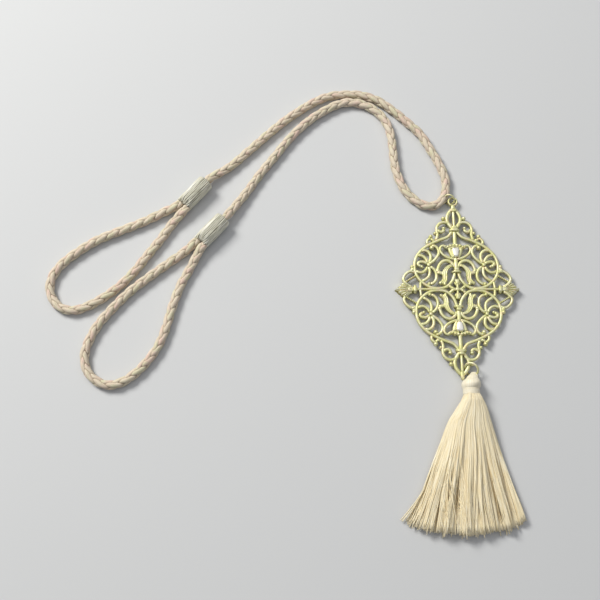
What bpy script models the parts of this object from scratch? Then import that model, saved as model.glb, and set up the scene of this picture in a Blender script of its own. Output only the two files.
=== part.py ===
"""Curtain tieback lying flat: a braided cord with two end loops, a scrollwork pendant and a tassel.

Millimetres throughout, turned into metres as each mesh is made. The origin is on the resting
surface under the middle of the pendant. +X is to the right of the photo, +Y away, +Z up.
"""

import math

import bpy
import numpy as np
from mathutils import Vector
from mathutils.geometry import delaunay_2d_cdt

MM = 0.001

# Cord.
CORD_R = 2.4
BRAID_LAY = 14.4  # length in which a strand of the four-strand braid goes once round
BRAID_CROWN = 1.08  # share of the radius at the middle of a lozenge
BRAID_DIP = 0.95  # and where the next strand dives under
BRAID_CREASE = 0.93  # and along the creases between the columns of lozenges
PIECE_GAP = 0.3
SQUEEZE = 0.86  # cord radius where a sleeve grips it

# Thread-bound sleeves that close the end loops.
SLEEVE_R = 4.7
SLEEVE_RIB = 0.3
SLEEVE_RIBS = 20
SLEEVE_AXIS_Z = 4.5
LEG_OFFSET = 2.45
GRIP_BACK = (0.3, 3.0)  # the cord is square to a sleeve's face between these distances from it
GRIP_Z = 4.3

# Rings of round wire: centre, radius, wire radius, bearing of the lowest point, tilt.
RINGS = {
    "cord_ring": ((-1.95, 53.85, 3.2), 3.0, 0.45, math.radians(246.5), math.radians(55)),
    "tassel_ring": ((4.85, -45.25, 3.4), 3.67, 0.6, math.radians(230), math.radians(48)),
}

# Pendant casting.
BAR_Z = (1.8, 3.4)
BOSS_Z = (0.0, 4.4)
BEAD_Z = (3.1, 4.0)
SCROLL_STEP = 2.65

# Tassel.
STRAND_COLUMN = 0.7
STRAND_ROW = 0.6
STRAND_PHASES = 4
NECK_R = 4.2
STRAND_LENGTH = 74.0
STRAY_LENGTH = 3.5

# The cord's route from the upper sleeve round the pendant to the lower sleeve: x, y, z,
# without the points at the sleeves' faces.
RUN_ROUTE = (
    (-128.5, 74.3, 2.6), (-118.1, 84.1, 2.4),
    (-107.4, 94.5, 2.4), (-96.6, 104.5, 2.4), (-87.1, 111.8, 2.4), (-79.8, 116.6, 2.4),
    (-70.6, 120.9, 2.4), (-60.9, 122.2, 2.4), (-51.0, 121.7, 2.4), (-41.2, 118.2, 2.4),
    (-32.0, 111.2, 2.4), (-24.1, 103.7, 2.4), (-16.8, 95.9, 2.4), (-11.3, 86.0, 2.4),
    (-6.8, 76.9, 2.4), (-3.6, 67.9, 2.4), (-3.4, 61.0, 2.4), (-5.3, 54.6, 2.4),
    (-10.4, 50.4, 2.4), (-16.8, 50.8, 2.4), (-22.8, 55.0, 2.4), (-27.6, 61.1, 2.4),
    (-30.4, 67.9, 2.4), (-32.1, 74.9, 2.4), (-32.9, 83.2, 2.4), (-33.5, 91.7, 2.4),
    (-35.2, 100.6, 2.4), (-39.4, 108.2, 2.4), (-45.4, 113.4, 2.4), (-52.0, 116.2, 2.4),
    (-59.4, 116.9, 2.4), (-66.4, 114.9, 2.4), (-74.0, 110.6, 2.4), (-80.8, 105.8, 2.4),
    (-87.3, 99.8, 2.4), (-93.9, 92.4, 2.4), (-102.0, 81.4, 2.4), (-110.3, 70.4, 2.4),
    (-118.2, 58.4, 2.6),
)
# The two end loops, from sleeve back to sleeve, without the points at the sleeve's face.
UPPER_LOOP_ROUTE = (
    (-164.6, 46.6, 2.6), (-175.6, 40.8, 2.4), (-188.4, 35.2, 2.4), (-201.0, 29.6, 2.4),
    (-210.9, 23.2, 2.4), (-219.7, 15.8, 2.4), (-224.9, 8.4, 2.4), (-226.2, 1.2, 2.4),
    (-223.8, -5.9, 2.4), (-218.4, -10.8, 2.4), (-211.5, -11.9, 2.4), (-204.1, -9.4, 2.4),
    (-196.0, -4.6, 2.4), (-187.9, 1.8, 2.4), (-180.0, 10.4, 2.4), (-172.8, 20.4, 2.4),
    (-166.0, 29.8, 2.4), (-159.8, 39.2, 2.7),
)
LOWER_LOOP_ROUTE = (
    (-152.8, 21.8, 2.6), (-162.9, 14.1, 2.4), (-172.8, 6.2, 2.4), (-182.6, -2.2, 2.4),
    (-191.3, -11.8, 2.4), (-197.5, -19.7, 2.4), (-201.9, -28.4, 2.4), (-204.0, -36.9, 2.4),
    (-202.3, -45.4, 2.4), (-196.9, -51.2, 2.4), (-190.2, -53.7, 2.4), (-182.9, -52.1, 2.4),
    (-175.8, -47.1, 2.4), (-169.6, -40.3, 2.4), (-164.2, -31.8, 2.4), (-160.5, -21.4, 2.4),
    (-157.7, -10.1, 2.4), (-153.8, 2.0, 2.4), (-148.4, 13.2, 2.6),
)
UPPER_SLEEVE = ((-153.0, 50.7), (-141.2, 64.3))
LOWER_SLEEVE = ((-142.6, 27.9), (-130.7, 41.5))

# One quarter of the pendant's scrollwork: name, bar width, and the points that the bar's
# middle line passes through. The other three quarters are its mirror images.
SCROLLS = (
    ("lyre", 2.0, ((0.3, 48.8), (3.2, 46.8), (4.3, 43.4), (3.3, 39.8), (0.8, 35.6))),
    ("c scroll", 1.8, ((2.6, 38.9), (5.3, 40.0), (8.0, 39.3), (9.7, 37.3), (9.9, 34.8), (10.6, 29.0))),
    ("c volute", 1.5, ((9.9, 35.4), (9.3, 34.4), (8.0, 34.1), (6.7, 34.9), (6.2, 36.4))),
    ("ogee", 2.0, ((1.0, 35.0), (3.8, 30.9), (10.4, 28.2), (16.6, 25.1), (21.4, 20.4), (23.3, 14.1),
                   (21.5, 7.5), (16.6, 2.5), (9.7, 0.9), (3.8, 3.6), (0.8, 10.0))),
    ("outer hook", 1.6, ((15.7, 25.6), (15.6, 28.2), (14.8, 30.0), (13.5, 31.2))),
    ("upper petal", 1.7, ((14.3, 26.4), (11.0, 25.3), (9.2, 22.6), (9.9, 19.4), (12.0, 16.8), (15.0, 15.0))),
    ("rib one", 1.5, ((15.0, 15.6), (14.1, 18.3), (14.6, 21.4), (16.6, 23.4), (18.6, 23.4))),
    ("rib two", 1.5, ((15.9, 15.4), (17.7, 18.6), (20.9, 20.6))),
    ("rib three", 1.5, ((16.2, 14.9), (18.3, 16.4), (20.4, 16.6), (21.4, 15.3), (20.2, 13.8))),
    ("rib four", 1.5, ((16.0, 14.0), (17.6, 11.2), (19.9, 9.8), (22.6, 9.8))),
    ("rib five", 1.5, ((15.5, 13.6), (15.2, 10.2), (16.5, 7.2), (19.4, 4.9))),
    ("lower petal", 1.7, ((14.6, 14.0), (12.2, 10.8), (11.2, 8.0), (11.7, 5.1), (13.4, 3.1), (15.6, 2.3))),
    ("inner scroll", 1.7, ((0.6, 12.6), (2.6, 15.8), (5.6, 17.0), (8.4, 16.0), (10.2, 13.6), (11.2, 9.8))),
    ("acanthus", 2.5, ((1.4, 14.4), (4.5, 12.4), (6.4, 9.6), (6.3, 6.9), (7.2, 4.6), (9.4, 3.6))),
    ("crescent", 1.6, ((6.4, 8.4), (8.4, 9.8), (11.4, 9.8))),
    ("bell leaf", 1.6, ((1.6, 24.6), (4.6, 24.4), (6.5, 26.0), (8.3, 25.2), (8.7, 23.1), (7.2, 20.9),
                        (3.6, 18.6), (0.4, 17.8))),
    ("centre arm", 1.4, ((0.2, 0.2), (2.6, 0.9), (4.3, 3.2))),
    ("centre leaf", 1.2, ((0.2, 1.9), (1.7, 2.8), (1.9, 4.6))),
    ("side scroll", 1.7, ((22.8, 9.6), (26.2, 10.2), (28.9, 8.2), (29.9, 5.6), (28.9, 3.4), (25.6, 0.9))),
    ("side leaf", 1.4, ((23.0, 8.4), (25.5, 6.4), (29.2, 4.4))),
    ("side bud", 1.5, ((24.2, 9.9), (26.4, 11.0), (26.0, 13.2), (23.6, 13.7))),
)
# Straight bars on the pendant's two middle lines: name, width, x and y of both ends.
STRAIGHT_BARS = (
    ("lyre stem", 1.5, (0.0, 33.0), (0.0, 49.4)),
    ("upper stem", 1.9, (0.0, 24.0), (0.0, 35.0)),
    ("lower stem", 2.1, (0.0, 9.0), (0.0, 19.0)),
    ("centre bar", 1.5, (0.0, 0.0), (0.0, 4.6)),
    ("side bar", 2.0, (8.0, 0.0), (26.0, 0.0)),
    ("cross bar", 1.6, (20.9, 0.0), (20.9, 4.4)),
)
# Round beads cast on the scrolls: name, x, y, radius.
BEADS = (
    ("lyre bead", 5.7, 41.9, 1.1),
    ("volute eye", 6.2, 36.6, 1.1),
    ("stem bead", 11.2, 33.3, 1.1),
    ("hook bead", 13.4, 31.5, 1.2),
    ("petal bead", 13.3, 24.7, 1.1),
    ("rib bead", 19.9, 13.6, 1.0),
    ("centre bud", 0.0, 4.2, 1.2),
)
# Raised bosses whose flat backs carry the pendant: name, x, y, half width, half height.
BOSSES = (
    ("upper collar", 0.0, 35.2, 2.5, 1.0),
    ("lower collar", 0.0, 10.0, 2.4, 0.95),
    ("fan hub", 15.5, 14.7, 1.5, 1.5),
    ("side collar", 24.6, 0.0, 0.95, 2.0),
    ("centre boss", 0.0, 0.0, 1.7, 1.7),
)
PALMETTE_ROOT = (25.6, 0.0)
PALMETTE_LOBES = ((29.8, 3.4), (32.2, 2.1), (33.4, 0.0), (32.2, -2.1), (29.8, -3.4))
PALMETTE_LOBE_R = 1.4
EYE_Y = 52.6
EYE_R = (1.9, 2.9)
KNOB_Y = -50.0
KNOB_R = 1.1

# Tassel head: y, x of its middle, radius, height of its middle.
HEAD_ROWS = (
    (-46.6, 6.3, 1.3, 1.6), (-47.7, 6.0, 2.0, 2.1), (-48.9, 5.5, 2.8, 2.85), (-50.4, 4.9, 3.4, 3.6),
    (-52.0, 4.3, 4.6, 4.5), (-53.7, 4.1, 5.1, 4.9), (-55.4, 3.9, 4.8, 4.7), (-56.4, 3.8, 3.6, 4.3),
    (-59.0, 3.9, 3.6, 4.3), (-59.8, 4.2, 4.45, 4.5),
)
HEAD_SIDES = 20
BINDING_R = (3.95, 4.45)
BINDING_Y = -56.9
# Skirt, by share of a strand's length: x of the middle, half width, thickness, strand's side.
SKIRT_ROWS = (
    (0.0, 4.2, 4.3, 8.2, 0.36), (0.15, 2.2, 11.0, 8.8, 0.38), (0.38, 1.4, 18.3, 8.2, 0.64),
    (0.8, -0.9, 28.2, 6.4, 0.95), (1.0, -1.4, 33.8, 5.6, 1.05),
)

COLOURS = {
    "cord": ((0.66, 0.52, 0.39), 0.85, 0.0),
    "sleeve": ((0.55, 0.52, 0.42), 0.6, 0.0),
    "gold": ((0.72, 0.62, 0.30), 0.32, 1.0),
    "silk": ((0.76, 0.66, 0.46), 0.7, 0.0),
}


def material(name, kind):
    colour, roughness, metallic = COLOURS[kind]
    made = bpy.data.materials.new(name)
    made.use_nodes = True
    shader = made.node_tree.nodes["Principled BSDF"]
    shader.inputs["Base Color"].default_value = (*colour, 1.0)
    shader.inputs["Roughness"].default_value = roughness
    shader.inputs["Metallic"].default_value = metallic
    return made


def add(name, points, faces, kind, smooth=True):
    """A mesh object from points in millimetres."""
    mesh = bpy.data.meshes.new(name)
    mesh.from_pydata((np.asarray(points, float) * MM).tolist(), [], [list(map(int, f)) for f in faces])
    mesh.validate()
    obj = bpy.data.objects.new(name, mesh)
    obj.data.materials.append(material(name, kind))
    bpy.context.scene.collection.objects.link(obj)
    for polygon in mesh.polygons:
        polygon.use_smooth = smooth
    return obj


def boolean(obj, other, operation):
    """The object's mesh replaced by its exact union with, or difference from, the other."""
    step = obj.modifiers.new("join", "BOOLEAN")
    step.solver = "EXACT"
    step.operation = operation
    step.object = other
    bpy.context.view_layer.update()
    graph = bpy.context.evaluated_depsgraph_get()
    mesh = bpy.data.meshes.new_from_object(obj.evaluated_get(graph))
    obj.modifiers.remove(step)
    obj.data = mesh
    bpy.data.objects.remove(other)


def smooth_curve(knots, step):
    """Evenly spaced points of a centripetal curve that passes through the knots."""
    knots = np.asarray(knots, float)
    ends = np.vstack([2 * knots[0] - knots[1], knots, 2 * knots[-1] - knots[-2]])
    spans = []
    for i in range(len(knots) - 1):
        a, b, c, d = ends[i : i + 4]
        t1 = math.sqrt(np.linalg.norm(b - a))
        t2 = t1 + math.sqrt(np.linalg.norm(c - b))
        t3 = t2 + math.sqrt(np.linalg.norm(d - c))
        t = np.linspace(t1, t2, 25)[:-1, None]
        ab = ((t1 - t) * a + t * b) / t1
        bc = ((t2 - t) * b + (t - t1) * c) / (t2 - t1)
        cd = ((t3 - t) * c + (t - t2) * d) / (t3 - t2)
        left = ((t2 - t) * ab + t * bc) / t2
        right = ((t3 - t) * bc + (t - t1) * cd) / (t3 - t1)
        spans.append(((t2 - t) * left + (t - t1) * right) / (t2 - t1))
    line = np.vstack(spans + [knots[-1:]])
    along = np.concatenate([[0.0], np.cumsum(np.linalg.norm(np.diff(line, axis=0), axis=1))])
    at = np.linspace(0.0, along[-1], max(2, round(along[-1] / step) + 1))
    return np.stack([np.interp(at, along, line[:, k]) for k in range(line.shape[1])], axis=1)


def directions(line, closed=False):
    """Unit tangents of a row of points."""
    if closed:
        steps = np.roll(line, -1, axis=0) - np.roll(line, 1, axis=0)
    else:
        steps = np.gradient(line, axis=0)
    return steps / np.linalg.norm(steps, axis=1)[:, None]


def sweep(rings, closed=False):
    """Faces of a skin over rings of equal size: capped at both ends, or closed on itself."""
    count, sides = rings.shape[:2]
    faces = []
    for i in range(count if closed else count - 1):
        here, there = i * sides, (i + 1) % count * sides
        for k in range(sides):
            after = (k + 1) % sides
            faces.append((here + k, here + after, there + after, there + k))
    if not closed:
        faces.append(tuple(range(sides))[::-1])
        faces.append(tuple(range((count - 1) * sides, count * sides)))
    return rings.reshape(-1, 3), faces


def braid_rings(line):
    """Rings of eight corners round a line that stays near level, one corner to each crease and
    each column of lozenges. The columns crown and dip in turn from ring to ring."""
    along = directions(line)
    side = np.cross((0.0, 0.0, 1.0), along)
    side /= np.linalg.norm(side, axis=1)[:, None]
    up = np.cross(along, side)
    corner = np.arange(8)
    ring = np.arange(len(line))[:, None]
    crowned = (corner // 2 + ring) % 2 == 0
    share = np.where(corner % 2 == 0, BRAID_CREASE, np.where(crowned, BRAID_CROWN, BRAID_DIP))
    reach = (CORD_R * share)[:, :, None]
    cos, sin = np.cos(corner * math.pi / 4)[None, :, None], np.sin(corner * math.pi / 4)[None, :, None]
    return line[:, None] + reach * (cos * side[:, None] + sin * up[:, None])


def cord(name, route):
    """A braid along the route, drawn in where the sleeves grip its two ends."""
    line = smooth_curve(route, BRAID_LAY / 4)
    rings = braid_rings(line)
    for end, inner in ((0, 1), (-1, -2)):
        rings[end] = line[end] + SQUEEZE * (rings[end] - line[end])
        square = np.array(route[end]) - np.array(route[inner])
        square /= np.linalg.norm(square)
        rings[end] -= np.outer((rings[end] - line[end]) @ square, square)
    rings[..., 2] = np.maximum(rings[..., 2], 0.05)
    return add(name, *sweep(rings), "cord")


def sleeve_axis(ends):
    near, far = np.array(ends[0]), np.array(ends[1])
    return near, far, (far - near) / np.linalg.norm(far - near)


def run_route():
    """The run's route with both ends brought squarely to the sleeves' faces."""
    _, upper, up_along = sleeve_axis(UPPER_SLEEVE)
    _, lower, low_along = sleeve_axis(LOWER_SLEEVE)
    start = [(*(upper + back * up_along), GRIP_Z) for back in GRIP_BACK]
    end = [(*(lower + back * low_along), GRIP_Z) for back in GRIP_BACK]
    return [*start, *RUN_ROUTE, *end[::-1]]


def loop_route(ends, route):
    """The loop's route with its two legs brought side by side to the sleeve's face."""
    near, _, along = sleeve_axis(ends)
    aside = LEG_OFFSET * np.array([-along[1], along[0]])
    start = [(*(near - back * along + aside), GRIP_Z) for back in GRIP_BACK]
    end = [(*(near - back * along - aside), GRIP_Z) for back in GRIP_BACK]
    return [*start, *route, *end[::-1]]


def sleeve(name, ends):
    """A round sleeve of lengthwise thread ribs, rounded over at both ends, flat underneath."""
    near, far = (np.array([*p, SLEEVE_AXIS_Z]) for p in ends)
    length = np.linalg.norm(far - near)
    along = (far - near) / length
    side = np.cross((0.0, 0.0, 1.0), along)
    rows = ((0.0, 0.86), (0.9, 1.0), (length - 0.9, 1.0), (length, 0.86))
    angles = np.arange(2 * SLEEVE_RIBS) * math.pi / SLEEVE_RIBS
    ribbed = SLEEVE_R - SLEEVE_RIB * (np.arange(2 * SLEEVE_RIBS) % 2)
    ring = np.outer(ribbed * np.cos(angles), side) + np.outer(ribbed * np.sin(angles), (0.0, 0.0, 1.0))
    rings = np.array([near + at * along + share * ring for at, share in rows])
    rings[..., 2] = np.maximum(rings[..., 2], 0.0)
    return add(name, *sweep(rings), "sleeve", smooth=False)


def ring_points(centre, radius, low_at, tilt, count):
    """Points round a tilted circle whose lowest point lies towards the bearing low_at."""
    low = np.array([math.cos(low_at) * math.cos(tilt), math.sin(low_at) * math.cos(tilt), -math.sin(tilt)])
    level = np.array([-math.sin(low_at), math.cos(low_at), 0.0])
    turn = np.arange(count) * 2 * math.pi / count
    line = np.asarray(centre) + radius * (np.outer(np.cos(turn), low) + np.outer(np.sin(turn), level))
    return line, np.cross(low, level)


def wire_ring(name, centre, radius, wire, low_at, tilt, kind="gold"):
    """A closed ring of round wire."""
    line, normal = ring_points(centre, radius, low_at, tilt, 22)
    out = line - np.asarray(centre)
    out /= np.linalg.norm(out, axis=1)[:, None]
    angles = np.arange(8) * math.pi / 4
    rings = line[:, None] + wire * (
        np.cos(angles)[None, :, None] * out[:, None] + np.sin(angles)[None, :, None] * normal
    )
    points, faces = sweep(rings, closed=True)
    return add(name, points, [f[::-1] for f in faces], kind)


def mirrored(points, sx, sy):
    """The polygon mirrored, its points put back in counter-clockwise order."""
    points = np.asarray(points, float) * (sx, sy)
    return points if sx * sy > 0 else points[::-1]


def bar_quads(line, width):
    """Four-sided pieces of a bar along a line in the plane."""
    along = directions(line)
    left = line + 0.5 * width * np.stack([-along[:, 1], along[:, 0]], axis=1)
    right = 2 * line - left
    return [np.array([right[i], right[i + 1], left[i + 1], left[i]]) for i in range(len(line) - 1)]


def disc(x, y, radius, sides=10):
    angles = (np.arange(sides) + 0.5) * 2 * math.pi / sides
    return np.array([x, y]) + radius * np.stack([np.cos(angles), np.sin(angles)], axis=1)


def plate_pieces():
    """Every flat outline of the pendant's openwork plate."""
    quarter = []
    for _, width, knots in SCROLLS:
        quarter += bar_quads(smooth_curve(knots, SCROLL_STEP), width)
    for _, width, start, end in STRAIGHT_BARS:
        quarter += bar_quads(np.array([start, end]), width)
    quarter += [disc(x, y, radius) for _, x, y, radius in BEADS]
    pieces = [mirrored(p, sx, sy) for sx in (1, -1) for sy in (1, -1) for p in quarter]
    turn = np.arange(21) * 2 * math.pi / 20
    middle = np.stack([np.cos(turn), np.sin(turn)], axis=1)
    inner, outer = (np.array([0.0, EYE_Y]) + r * middle for r in EYE_R)
    pieces += [np.array([inner[i], outer[i], outer[i + 1], inner[i + 1]]) for i in range(20)]
    pieces.append(np.array([(-1.3, 48.2), (1.3, 48.2), (1.0, 50.4), (-1.0, 50.4)]))
    pieces.append(disc(0.0, KNOB_Y, KNOB_R))
    return pieces


def inside(points, starts, ends):
    """Whether each point has an odd number of outline edges to its right."""
    x, y = points[:, :1], points[:, 1:]
    low, high = starts[None, :, 1], ends[None, :, 1]
    crosses = (low > y) != (high > y)
    rise = np.where(high == low, 1.0, high - low)
    at = starts[None, :, 0] + (y - low) / rise * (ends[None, :, 0] - starts[None, :, 0])
    return (crosses & (at > x)).sum(axis=1) % 2 == 1


def union_outline(pieces):
    """Directed outline edges, as point pairs, of the union of overlapping flat pieces."""
    points = [Vector(map(float, p)) for piece in pieces for p in piece]
    faces, at = [], 0
    for piece in pieces:
        faces.append(list(range(at, at + len(piece))))
        at += len(piece)
    spots, _, triangles, _, _, sources = delaunay_2d_cdt(points, [], faces, 0, 1e-4)
    spots = np.array([tuple(v) for v in spots])
    kept = [t for t, source in zip(triangles, sources) if source]
    directed = {(t[k], t[(k + 1) % len(t)]) for t in kept for k in range(len(t))}
    return spots, [e for e in directed if (e[1], e[0]) not in directed]


def outline_loops(edges):
    after = {}
    for a, b in sorted(edges):
        after.setdefault(a, []).append(b)
    loops = []
    while after:
        start = min(after)
        loop, here = [start], after[start].pop()
        if not after[start]:
            del after[start]
        while here != start:
            loop.append(here)
            there = after[here].pop()
            if not after[here]:
                del after[here]
            here = there
        loops.append(loop)
    return loops


def tidied(loop, nearest=0.2, straight=0.08):
    """The loop without points that crowd their neighbour or lie on a straight run."""
    points = [loop[0]]
    for p in loop[1:]:
        if np.linalg.norm(p - points[-1]) > nearest:
            points.append(p)
    if len(points) > 1 and np.linalg.norm(points[0] - points[-1]) <= nearest:
        points.pop()
    kept = True
    while kept and len(points) > 3:
        kept = False
        for i in range(len(points)):
            a, b, c = points[i - 1], points[i], points[(i + 1) % len(points)]
            span = c - a
            off = abs(span[0] * (b - a)[1] - span[1] * (b - a)[0]) / max(np.linalg.norm(span), 1e-9)
            if off < straight:
                points.pop(i)
                kept = True
                break
    return np.array(points)


def plate(pieces, low, high):
    """Points and faces of the union of the flat pieces, drawn up from low to high."""
    spots, edges = union_outline(pieces)
    loops = [tidied(spots[loop]) for loop in outline_loops(edges)]
    loops = [loop for loop in loops if len(loop) > 2]
    flat = np.vstack(loops)
    rims, at = [], 0
    for loop in loops:
        rims += [(at + k, at + (k + 1) % len(loop)) for k in range(len(loop))]
        at += len(loop)
    found, _, triangles, origin, _, _ = delaunay_2d_cdt([Vector(p) for p in flat], rims, [], 0, 1e-5)
    found = np.array([tuple(v) for v in found])
    middles = np.array([found[list(t)].mean(axis=0) for t in triangles])
    starts, ends = flat[[a for a, _ in rims]], flat[[b for _, b in rims]]
    tops = [list(t) for t, within in zip(triangles, inside(middles, starts, ends)) if within]
    count = len(found)
    points = np.vstack([np.column_stack([found, np.full(count, z)]) for z in (low, high)])
    directed = {(t[k], t[(k + 1) % 3]) for t in tops for k in range(3)}
    faces = [t[::-1] for t in tops] + [[i + count for i in t] for t in tops]
    faces += [[a, b, b + count, a + count] for a, b in sorted(directed) if (b, a) not in directed]
    return points, faces


def boss(outline, low, high, crown=0.72):
    """A raised boss on a convex outline: straight sides, then drawn in to a smaller top."""
    outline = np.asarray(outline, float)
    middle = outline.mean(axis=0)
    shoulder = low + 0.72 * (high - low)
    rows = ((low, 1.0), (shoulder, 1.0), (high, crown))
    rings = np.array([np.column_stack([middle + share * (outline - middle), np.full(len(outline), z)])
                      for z, share in rows])
    return sweep(rings)


def rounded_box(x, y, half_w, half_h):
    """Eight-sided outline with its corners cut."""
    cut = 0.35 * min(half_w, half_h)
    return np.array([
        (x - half_w + cut, y - half_h), (x + half_w - cut, y - half_h),
        (x + half_w, y - half_h + cut), (x + half_w, y + half_h - cut),
        (x + half_w - cut, y + half_h), (x - half_w + cut, y + half_h),
        (x - half_w, y + half_h - cut), (x - half_w, y - half_h + cut),
    ])


def joined(solids):
    """Several closed skins in one list of points and faces."""
    points, faces, at = [], [], 0
    for these, those in solids:
        points.append(these)
        faces += [[i + at for i in face] for face in those]
        at += len(these)
    return np.vstack(points), faces


def four_ways(outline, x, y):
    """The outline in every quarter where it makes a separate copy."""
    for sx in (1, -1) if x > 0.01 else (1,):
        for sy in (1, -1) if y > 0.01 else (1,):
            yield mirrored(outline, sx, sy)


def palmette_lobe(lobe):
    """Outline of one lobe of the fan, from the root to a round tip, and of the ridge along it."""
    root = np.array(PALMETTE_ROOT)
    out = (lobe - root) / np.linalg.norm(lobe - root)
    aside = np.array([-out[1], out[0]])
    tip = disc(*lobe, PALMETTE_LOBE_R, 10)
    ahead = sorted((p for p in tip if (p - lobe) @ out > -0.1), key=lambda p: (p - lobe) @ aside)
    outline = np.array([root - 0.6 * aside, *ahead, root + 0.6 * aside])
    start = root + 0.62 * (lobe - root)
    ridge = [start - 0.35 * aside, lobe + 0.2 * out - 0.6 * aside, lobe + 0.9 * out,
             lobe + 0.2 * out + 0.6 * aside, start + 0.35 * aside]
    return outline, np.array(ridge)


def pendant_bosses():
    """The bosses in groups that don't touch one another."""
    feet, beads, flowers, fans = [], [], [], []
    for _, x, y, half_w, half_h in BOSSES:
        for outline in four_ways(rounded_box(x, y, half_w, half_h), x, y):
            feet.append(boss(outline, *BOSS_Z))
    for _, x, y, radius in BEADS:
        for outline in four_ways(disc(x, y, 0.88 * radius, 6), x, y):
            beads.append(boss(outline, *BEAD_Z, crown=0.55))
    bud = np.array([(-0.7, 18.2), (0.7, 18.2), (1.9, 21.6), (2.2, 24.2), (-2.2, 24.2), (-1.9, 21.6)])
    crown = rounded_box(0.0, 24.9, 3.1, 0.95)
    for sy in (1, -1):
        flowers.append(boss(mirrored(bud, 1, sy), 0.0, BOSS_Z[1] + 0.3, crown=0.6))
        feet.append(boss(mirrored(crown, 1, sy), 0.3, BOSS_Z[1] - 0.3))
    for sx in (1, -1):
        lobes, ridges = [], []
        for lobe in PALMETTE_LOBES:
            outline, ridge = palmette_lobe(np.array(lobe))
            lobes.append(mirrored(outline, sx, 1))
            ridges.append(boss(mirrored(ridge, sx, 1), BOSS_Z[1] - 1.2, BOSS_Z[1] + 0.2, crown=0.6))
        fans.append((plate(lobes, 0.0, BOSS_Z[1] - 0.5), ridges))
    groups = [feet, beads, flowers, [fan for fan, _ in fans]]
    groups.append([ridge for _, ridges in fans for ridge in ridges])
    return groups


def pendant():
    """The casting: an openwork plate of scrolls joined with its bosses, beads and palmettes."""
    obj = add("pendant", *plate(plate_pieces(), *BAR_Z), "gold", smooth=False)
    for group in pendant_bosses():
        other = add("boss", *joined(group), "gold")
        boolean(obj, other, "UNION")
    return obj


def strand_cells():
    """Column and row places, in millimetres, of the strands' roots within the neck."""
    cells = []
    rows = int(NECK_R / STRAND_ROW)
    for row in range(-rows, rows + 1):
        shift = (row % STRAND_PHASES) / STRAND_PHASES * STRAND_COLUMN
        for column in range(-8, 9):
            u, v = column * STRAND_COLUMN + shift - 0.23, row * STRAND_ROW
            if math.hypot(u, v) < NECK_R - 0.32:
                cells.append((u, v))
    return np.array(cells)


def skirt(cells):
    """Stations of every strand: an array of strand, station, then x, y, z and side length."""
    rows = np.array(SKIRT_ROWS)
    foot_y, _, _, foot_z = HEAD_ROWS[-1]
    u, v = cells[:, 0] / NECK_R, cells[:, 1] / NECK_R
    ragged = 1.3 * np.sin(7.1 * cells[:, 0] + 3.3 * cells[:, 1]) + 0.9 * np.sin(17.3 * cells[:, 1] - 5.0 * u)
    stray = (np.arange(len(cells)) % 19 == 4) * STRAY_LENGTH
    length = STRAND_LENGTH - 2.0 - 7.0 * u * u + ragged + stray
    bed = -np.sqrt(np.maximum(0.0, 1.0 - u * u))
    stations = []
    for share, middle, half, thick, side in rows:
        settle = min(1.0, max(0.0, (share - 0.15) / 0.5))
        lying = side / 2 + (v - bed) * 0.5 * thick
        round_z = foot_z + v * NECK_R
        z = np.maximum((1 - settle) * round_z + settle * lying, side / 2)
        x = middle + u * half + 0.9 * share * np.sin(2.6 * u + 4.0 * share)
        y = foot_y - share * length
        stations.append(np.stack([x, y, z, np.full(len(u), side)], axis=1))
    return np.stack(stations, axis=1)


def tassel():
    """Head and skirt in one: the strands grow out of cells in the flat foot of the head."""
    angles = (np.arange(HEAD_SIDES) + 0.5) * 2 * math.pi / HEAD_SIDES
    rings = []
    for y, x, radius, z in HEAD_ROWS:
        rings.append(np.column_stack([
            x + radius * np.cos(angles), np.full(HEAD_SIDES, y), z + radius * np.sin(angles),
        ]))
    rings = np.array(rings)
    rings[..., 2] = np.maximum(rings[..., 2], 0.0)
    points, faces = sweep(rings)
    faces.pop()
    points = list(points)
    rim = list(range((len(rings) - 1) * HEAD_SIDES, len(rings) * HEAD_SIDES))
    stations = skirt(strand_cells())
    corners = np.array([(-0.5, -0.5), (0.5, -0.5), (0.5, 0.5), (-0.5, 0.5)])
    roots = []
    for strand in stations:
        at = len(points)
        for x, y, z, side in strand:
            points += [(x + cx * side, y, z + cz * side) for cx, cz in corners]
        last = len(strand) - 1
        for k in range(last):
            for c in range(4):
                a, b = at + 4 * k + c, at + 4 * k + (c + 1) % 4
                faces.append((a, b, b + 4, a + 4))
        faces.append(tuple(at + 4 * last + c for c in range(4)))
        roots.append([at + c for c in range(4)])
    known = rim + [i for root in roots for i in root]
    flat = [Vector((points[i][0], points[i][2])) for i in known]
    count = len(rim)
    edges = [(k, (k + 1) % count) for k in range(count)]
    for n in range(len(roots)):
        edges += [(count + 4 * n + c, count + 4 * n + (c + 1) % 4) for c in range(4)]
    found, _, triangles, _, _, _ = delaunay_2d_cdt(flat, edges, [], 0, 1e-7)
    starts = np.array([flat[a] for a, _ in edges])
    ends = np.array([flat[b] for _, b in edges])
    middles = np.array([sum((np.array(found[i]) for i in t), np.zeros(2)) / 3 for t in triangles])
    for triangle, within in zip(triangles, inside(middles, starts, ends)):
        if within:
            faces.append([known[i] for i in triangle])
    return add("tassel", points, faces, "silk", smooth=False)


def binding():
    """The thread wound round the tassel's neck."""
    inner, outer = BINDING_R
    profile = ((0.1, inner), (0.0, outer - 0.25), (0.35, outer), (0.85, outer - 0.12), (1.35, outer),
               (1.8, outer - 0.25), (1.75, inner))
    x, z = 3.85, 4.45
    rings = []
    for angle in (np.arange(18) + 0.5) * math.pi / 9:
        rings.append([(x + r * math.cos(angle), BINDING_Y - at, z + r * math.sin(angle)) for at, r in profile])
    points, faces = sweep(np.array(rings), closed=True)
    return add("tassel_binding", points, [f[::-1] for f in faces], "silk")


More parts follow.
